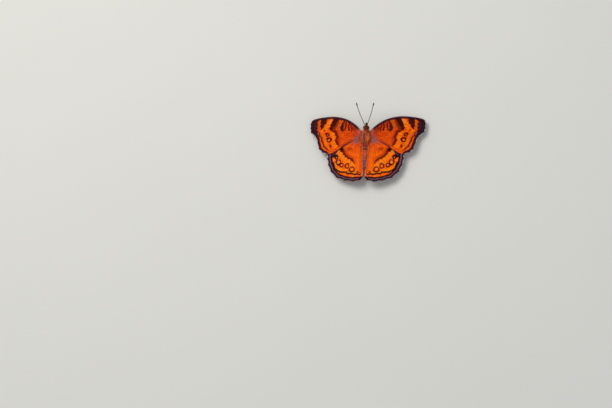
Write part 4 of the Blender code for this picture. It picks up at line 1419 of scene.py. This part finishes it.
def head_coat(count, seed):
    rng = np.random.default_rng(seed)
    roots, normals, unroll = skin_roots(count, (5.19, 3.2), seed)
    x, y, z = roots.T
    front = soft_step((y - 4.2) / 0.9)
    ways = np.stack((0.2 * x, -0.5 + 1.4 * front, 0.5 * (z > -0.2)), axis=1)
    ways = laid_flat(ways + 0.35 * rng.standard_normal(ways.shape), normals)
    crest = soft_step((z - 0.1) / 0.5) * (np.abs(x) < 0.6)
    length = 0.3 + 0.22 * rng.random(count) + 0.2 * crest + 0.35 * soft_step((3.9 - y) / 0.4)
    tint = 1.1 * mixed(body_colour(roots), SAND, rng, 0.1)
    coat = coat_of(roots, normals, ways, tint, length=1.15 * length, width=0.046, thick=0.03,
                   rise=0.2 + 0.4 * crest + 0.25 * rng.random(count))
    keep = outside_eyes(roots, -0.03)
    return {k: v[keep] for k, v in coat.items()}, unroll[keep]


def eye_rim(count, seed):
    """Short pale tufts on the head round the edge of each eye."""
    roots, normals, unroll = skin_roots(count, (5.15, 3.7), seed)
    near = outside_eyes(roots, -0.02) & ~outside_eyes(roots, 0.09)
    roots, normals, unroll = roots[near], normals[near], unroll[near]
    rng = np.random.default_rng(seed)
    centre = np.array(EYE_CENTRE) * np.stack((np.sign(roots[:, 0]), *np.ones((2, len(roots)))), axis=1)
    away = unit(roots - centre) - (0, 0.2, 0) + 0.2 * rng.standard_normal(roots.shape)
    tint = mixed(np.tile(SAND, (len(roots), 1)), WINE, rng, 0.3)
    return coat_of(roots, normals, laid_flat(away, normals), tint, width=0.06, thick=0.03, rise=0.35,
                   length=0.2 + 0.12 * rng.random(len(roots))), unroll


def tail_coat(count, seed):
    """A brush of hair round the end of the abdomen."""
    rng = np.random.default_rng(seed)
    roots, normals, unroll = skin_roots(count, (ABDOMEN_REAR + 1.3, ABDOMEN_REAR + 0.03), seed)
    ways = unit(0.35 * normals + (0, -1.0, 0.1) + 0.12 * rng.standard_normal(roots.shape))
    length = 1.1 + 1.0 * rng.random(count)
    rise = -0.1 + 0.15 * rng.random(count)
    return coat_of(roots, normals, ways, 1.2 * mixed(body_colour(roots), ROSE, rng, 0.4),
                   length=length, width=0.055, thick=0.03, rise=rise), unroll


def shoulder_coat(count, seed):
    """Long hair from the thorax sides, swept out and back over the wing roots."""
    rng = np.random.default_rng(seed)
    shares = even(count, seed)
    sign = np.where(np.arange(count) % 2, 1, -1)
    y = 2.7 - 6.3 * shares[:, 0]
    angle = np.radians(28 + 62 * shares[:, 1]) * sign
    roots, normals = on_skin(y, angle)
    out = np.interp(y, (-3.6, -1.5, 1.0, 2.7), (0.25, 0.45, 0.55, 0.5))
    ways = np.stack((sign * out, -0.85 + 0 * y, 0.1 + 0 * y), axis=1)
    ways = unit(ways + 0.3 * sway(roots, 0.8) + 0.14 * rng.standard_normal(ways.shape))
    free = soft_step((np.abs(angle) - 0.6) / 0.5)[:, None]
    ways = unit(free * ways + (1 - free) * laid_flat(ways, normals))
    up = unit(np.cross(np.cross(ways, (0, 0, 1.0)), ways))
    tint = mixed(body_colour(roots), RUST, rng, 0.3)
    lay(tint, soft_step((np.abs(angle) - 0.9) / 0.4) * 0.6, RUST)
    unroll = np.stack(((angle / (2 * math.pi)) % 1.0, (y - ABDOMEN_REAR) / BODY_LENGTH), axis=1)
    length = (0.9 + 0.9 * rng.random(count)) * np.interp(y, (-3.6, -1.5), (0.6, 1.0))
    return coat_of(roots, up, ways, 1.15 * tint, length=length, width=0.055, thick=0.03,
                   rise=-0.12 + 0.3 * rng.random(count)), unroll


for name, node, coat in (         # each coat is given its number of roots and its seed
        ("thorax_under_hair", "thorax", thorax_coat(6000, 20, False)),
        ("thorax_long_hair", "thorax", thorax_coat(3000, 21, True)),
        ("abdomen_scales", "abdomen", abdomen_coat(9000, 22, False)),
        ("abdomen_hair", "abdomen", abdomen_coat(2200, 23, True)),
        ("head_hair", "head", head_coat(9000, 24)),
        ("eye_rims", "head", eye_rim(9000, 25)),
        ("shoulder_hair", "thorax", shoulder_coat(5600, 26)),
        ("tail_tuft", "abdomen", tail_coat(900, 27))):
    make_coat(name, node, node, *coat, SCALE_COAT if name == "abdomen_scales" else BODY_HAIR)

# %% [markdown]
# Hair also grows on the wings: a long mauve fan at each root, a fringe of scales along the whole outer
# margin and soft hair down the inner margin of the hindwing, which makes a trough for the abdomen.
# In the fringe, white patches stand between the veins and dark ones at their ends.

# %% Wing coat
def on_wing(plan, layer, flat):
    """Points on the upper side of the right wing, and the normals there."""
    step = 0.1
    here, out, ahead = (lift(flat + shift, layer(measure(plan, flat + shift)))
                        for shift in ((0.0, 0.0), (step, 0.0), (0.0, step)))
    normals = unit(np.cross(out - here, ahead - here))
    return here + 0.5 * MEMBRANE * normals, normals


def wing_place(flat):
    """A wing point's place on the flat plan, as shares of a square."""
    return np.stack((flat[:, 0] / 30, (flat[:, 1] + 23) / 35), axis=1)


def root_fan(plan, layer, paint, box, count, seed):
    """Hair on a stretch of wing near its root, given as shares outward and forward."""
    rng = np.random.default_rng(seed)
    shares = even(count, seed)
    v = box[2] + (box[3] - box[2]) * shares[:, 1]
    u = box[0] + (box[1] - box[0]) * shares[:, 0] ** 2
    flat = stretch(plan, u, v)
    roots, normals = on_wing(plan, layer, flat)
    rays = unit(np.hstack((flat - (1.0, 0.6), np.zeros((count, 1)))))
    if box[3] < 0.5:
        rays = rays + (-0.55, 0.0, 0.0)
    ways = laid_flat(rays + 0.16 * rng.standard_normal((count, 3)) * (1, 1, 0.2), normals)
    own = paint(flat, *measure(plan, flat))
    fade = soft_step(1.2 - np.linalg.norm(flat, axis=1) / 5.0)[:, None]
    tint = own * (1 - 0.62 * fade) + mixed(np.tile(MAUVE, (count, 1)), COPPER, rng, 0.45) * 0.62 * fade
    length = 0.5 + 0.5 * rng.random(count)
    return coat_of(roots, normals, ways, 1.2 * tint, length=length, width=0.06, thick=0.02,
                   rise=0.03 + 0.07 * rng.random(count)), wing_place(flat)


def fringe(plan, layer, paint, tips, count, seed, white):
    """Vanes along the outer margin, in two rows."""
    rng = np.random.default_rng(seed)
    share = (np.arange(count) + 0.5) / count
    flat, ahead = along(plan["margin"], share), along(plan["margin"], np.minimum(share + 0.002, 1.0))
    run = unit(np.nan_to_num(ahead - flat) + (0.0, 1e-6))
    outward = np.stack((run[:, 1], -run[:, 0], 0 * share), axis=1)
    inner = flat - 0.08 * outward[:, :2]
    roots, normals = on_wing(plan, layer, inner)
    lower = np.arange(count) % 2 == 1
    roots -= (0.5 * MEMBRANE + np.where(lower, 0.03, -0.03))[:, None] * normals
    ways = laid_flat(outward + 0.12 * rng.standard_normal((count, 3)), normals)
    from_vein = np.min([np.linalg.norm(flat - tip, axis=1) for tip in tips.values()], axis=0)
    tint = paint(flat, *measure(plan, flat)) * 0.8
    lay(tint, soft_step((from_vein - 0.36) / 0.25) * white(flat), WHITE)
    tint *= (0.85 + 0.3 * rng.random(count))[:, None]
    length = (0.34 + 0.12 * rng.random(count)) * (0.6 + 0.4 * soft_step((from_vein - 0.2) / 0.4))
    return coat_of(roots, normals, ways, tint, length=length, width=0.11, thick=0.02,
                   rise=np.where(lower, -0.04, 0.05)), wing_place(flat)


def other_side(coat):
    """The same coat for the left wing."""
    flip = np.array((-1, 1, 1))
    return {k: v * flip if k in ("roots", "normals", "ways") else v for k, v in coat.items()}


def joined(*coats):
    """Several coats and their unrolled places as one."""
    whole = {key: np.concatenate([coat[key] for coat, place in coats]) for key in coats[0][0]}
    return whole, np.vstack([place for coat, place in coats])


def fore_white(flat):
    """Where the forewing's fringe is white."""
    return np.interp(flat[:, 1], (-8.5, -7.6, -6.4, -3.5, -2.0, 3.0, 8.0),
                     (0.4, 1.0, 1.0, 0.5, 1.0, 0.9, 1.0))


def hind_white(flat):
    """Where the hindwing's fringe is white."""
    return np.interp(flat[:, 1], (-22.5, -19.0, -13.0, -9.0), (0.5, 0.55, 0.8, 1.0))


def make_wing_coats():
    for kind, plan, layer, paint, patches, tips, white in (
            ("forewing", FORE, forewing_layer, paint_forewing, ((0.0, 0.2, 0.0, 0.93, 1800),),
             FORE_TIPS, fore_white),
            ("hindwing", HIND, hindwing_layer, paint_hindwing,
             ((0.0, 0.34, 0.0, 1.0, 2600), (0.05, 0.8, 0.0, 0.07, 2400)), HIND_TIPS, hind_white)):
        coats = [root_fan(plan, layer, paint, patch[:4], patch[4], 31 + n)
                 for n, patch in enumerate(patches)]
        coats.append(fringe(plan, layer, paint, tips, 1100, 41, white))
        coat, place = joined(*coats)
        for side, sign in SIDES:
            name = f"{kind}_{side}"
            make_coat(f"{name}_hair", name, kind, coat if sign > 0 else other_side(coat), place,
                      SCALE_COAT)


make_wing_coats()

# %% [markdown]
# Palps and legs are thin, so their coat is short: bristles on the palps and small flat scales on the
# legs, with rows of spines down the shins. The folded front legs are brushes of longer hair.

# %% Coat of palps and legs
def round_tube(line, radii, count, seed, length=0.2, width=0.06, rise=0.25, loose=0.1):
    """Tufts all round a bent, tapered tube, lying towards its end."""
    rng = np.random.default_rng(seed)
    shares = even(count, seed)
    steps = np.linalg.norm(np.diff(line, axis=0), axis=1)
    travel = np.concatenate(([0.0], np.cumsum(steps))) / steps.sum()
    here, ahead = (np.stack([np.interp(t, travel, line[:, k]) for k in range(3)], axis=1)
                   for t in (shares[:, 0] * 0.98, shares[:, 0] * 0.98 + 0.02))
    aim = unit(ahead - here)
    first = unit(np.cross(aim, (0.3, 0.2, 1.0)))
    second = np.cross(aim, first)
    angle = 2 * math.pi * shares[:, 1:]
    normals = np.cos(angle) * first + np.sin(angle) * second
    roots = here + np.interp(shares[:, 0], travel, radii)[:, None] * normals
    ways = laid_flat(aim + loose * rng.standard_normal((count, 3)), normals)
    length = length * (0.8 + 0.4 * rng.random(count))
    rise = rise * (0.6 + 0.8 * rng.random(count))
    return coat_of(roots, normals, ways, np.ones((count, 3)), length=length, width=width,
                   thick=0.3 * width, rise=rise), shares


def coloured(coats, light, dark, seed):
    """Several stretches as one coat, pale with some dark tufts, each on its own strip of the map."""
    for number, (coat, place) in enumerate(coats):
        place[:, 0] = (number + 0.05 + 0.9 * place[:, 0]) / len(coats)
    coat, place = joined(*coats)
    rng = np.random.default_rng(seed)
    coat["tint"] = mixed(np.tile(light, (len(place), 1)), dark, rng, 0.4)
    return coat, place


def make_small_coats():
    for side, sign in SIDES:
        line, radii = taper(mirrored(PALP_PATH, sign), PALP_RADII, 0.12)
        make_coat(f"palp_{side}_bristles", f"palp_{side}", "palp",
                  *coloured([round_tube(line, radii, 900, 51, 0.32, 0.055, 0.28, 0.2)],
                            RUSSET * 0.45, WINE * 0.16, 52), BODY_HAIR)
        for kind in ("foreleg", "midleg", "hindleg"):
            name = f"{kind}_{side}"
            if kind == "foreleg":
                stretches = [round_tube(*LEG_LINES[name][0], 1400, 61, 0.4, 0.05, 0.4, 0.2)]
            else:
                coxa, femur, tibia, foot = LEG_LINES[name]
                stretches = [round_tube(*coxa, 260, 62, 0.4, 0.06, 0.35, 0.2),
                             round_tube(*femur, 520, 63, 0.24), round_tube(*tibia, 420, 64, 0.2),
                             round_tube(*foot, 360, 65, 0.12, 0.045, 0.2),
                             round_tube(*tibia, 60, 66, 0.34, 0.035, 0.8)]
            make_coat(f"{name}_scales", name, "leg", *coloured(stretches, SAND, CHESTNUT, 62), BODY_HAIR)


make_small_coats()
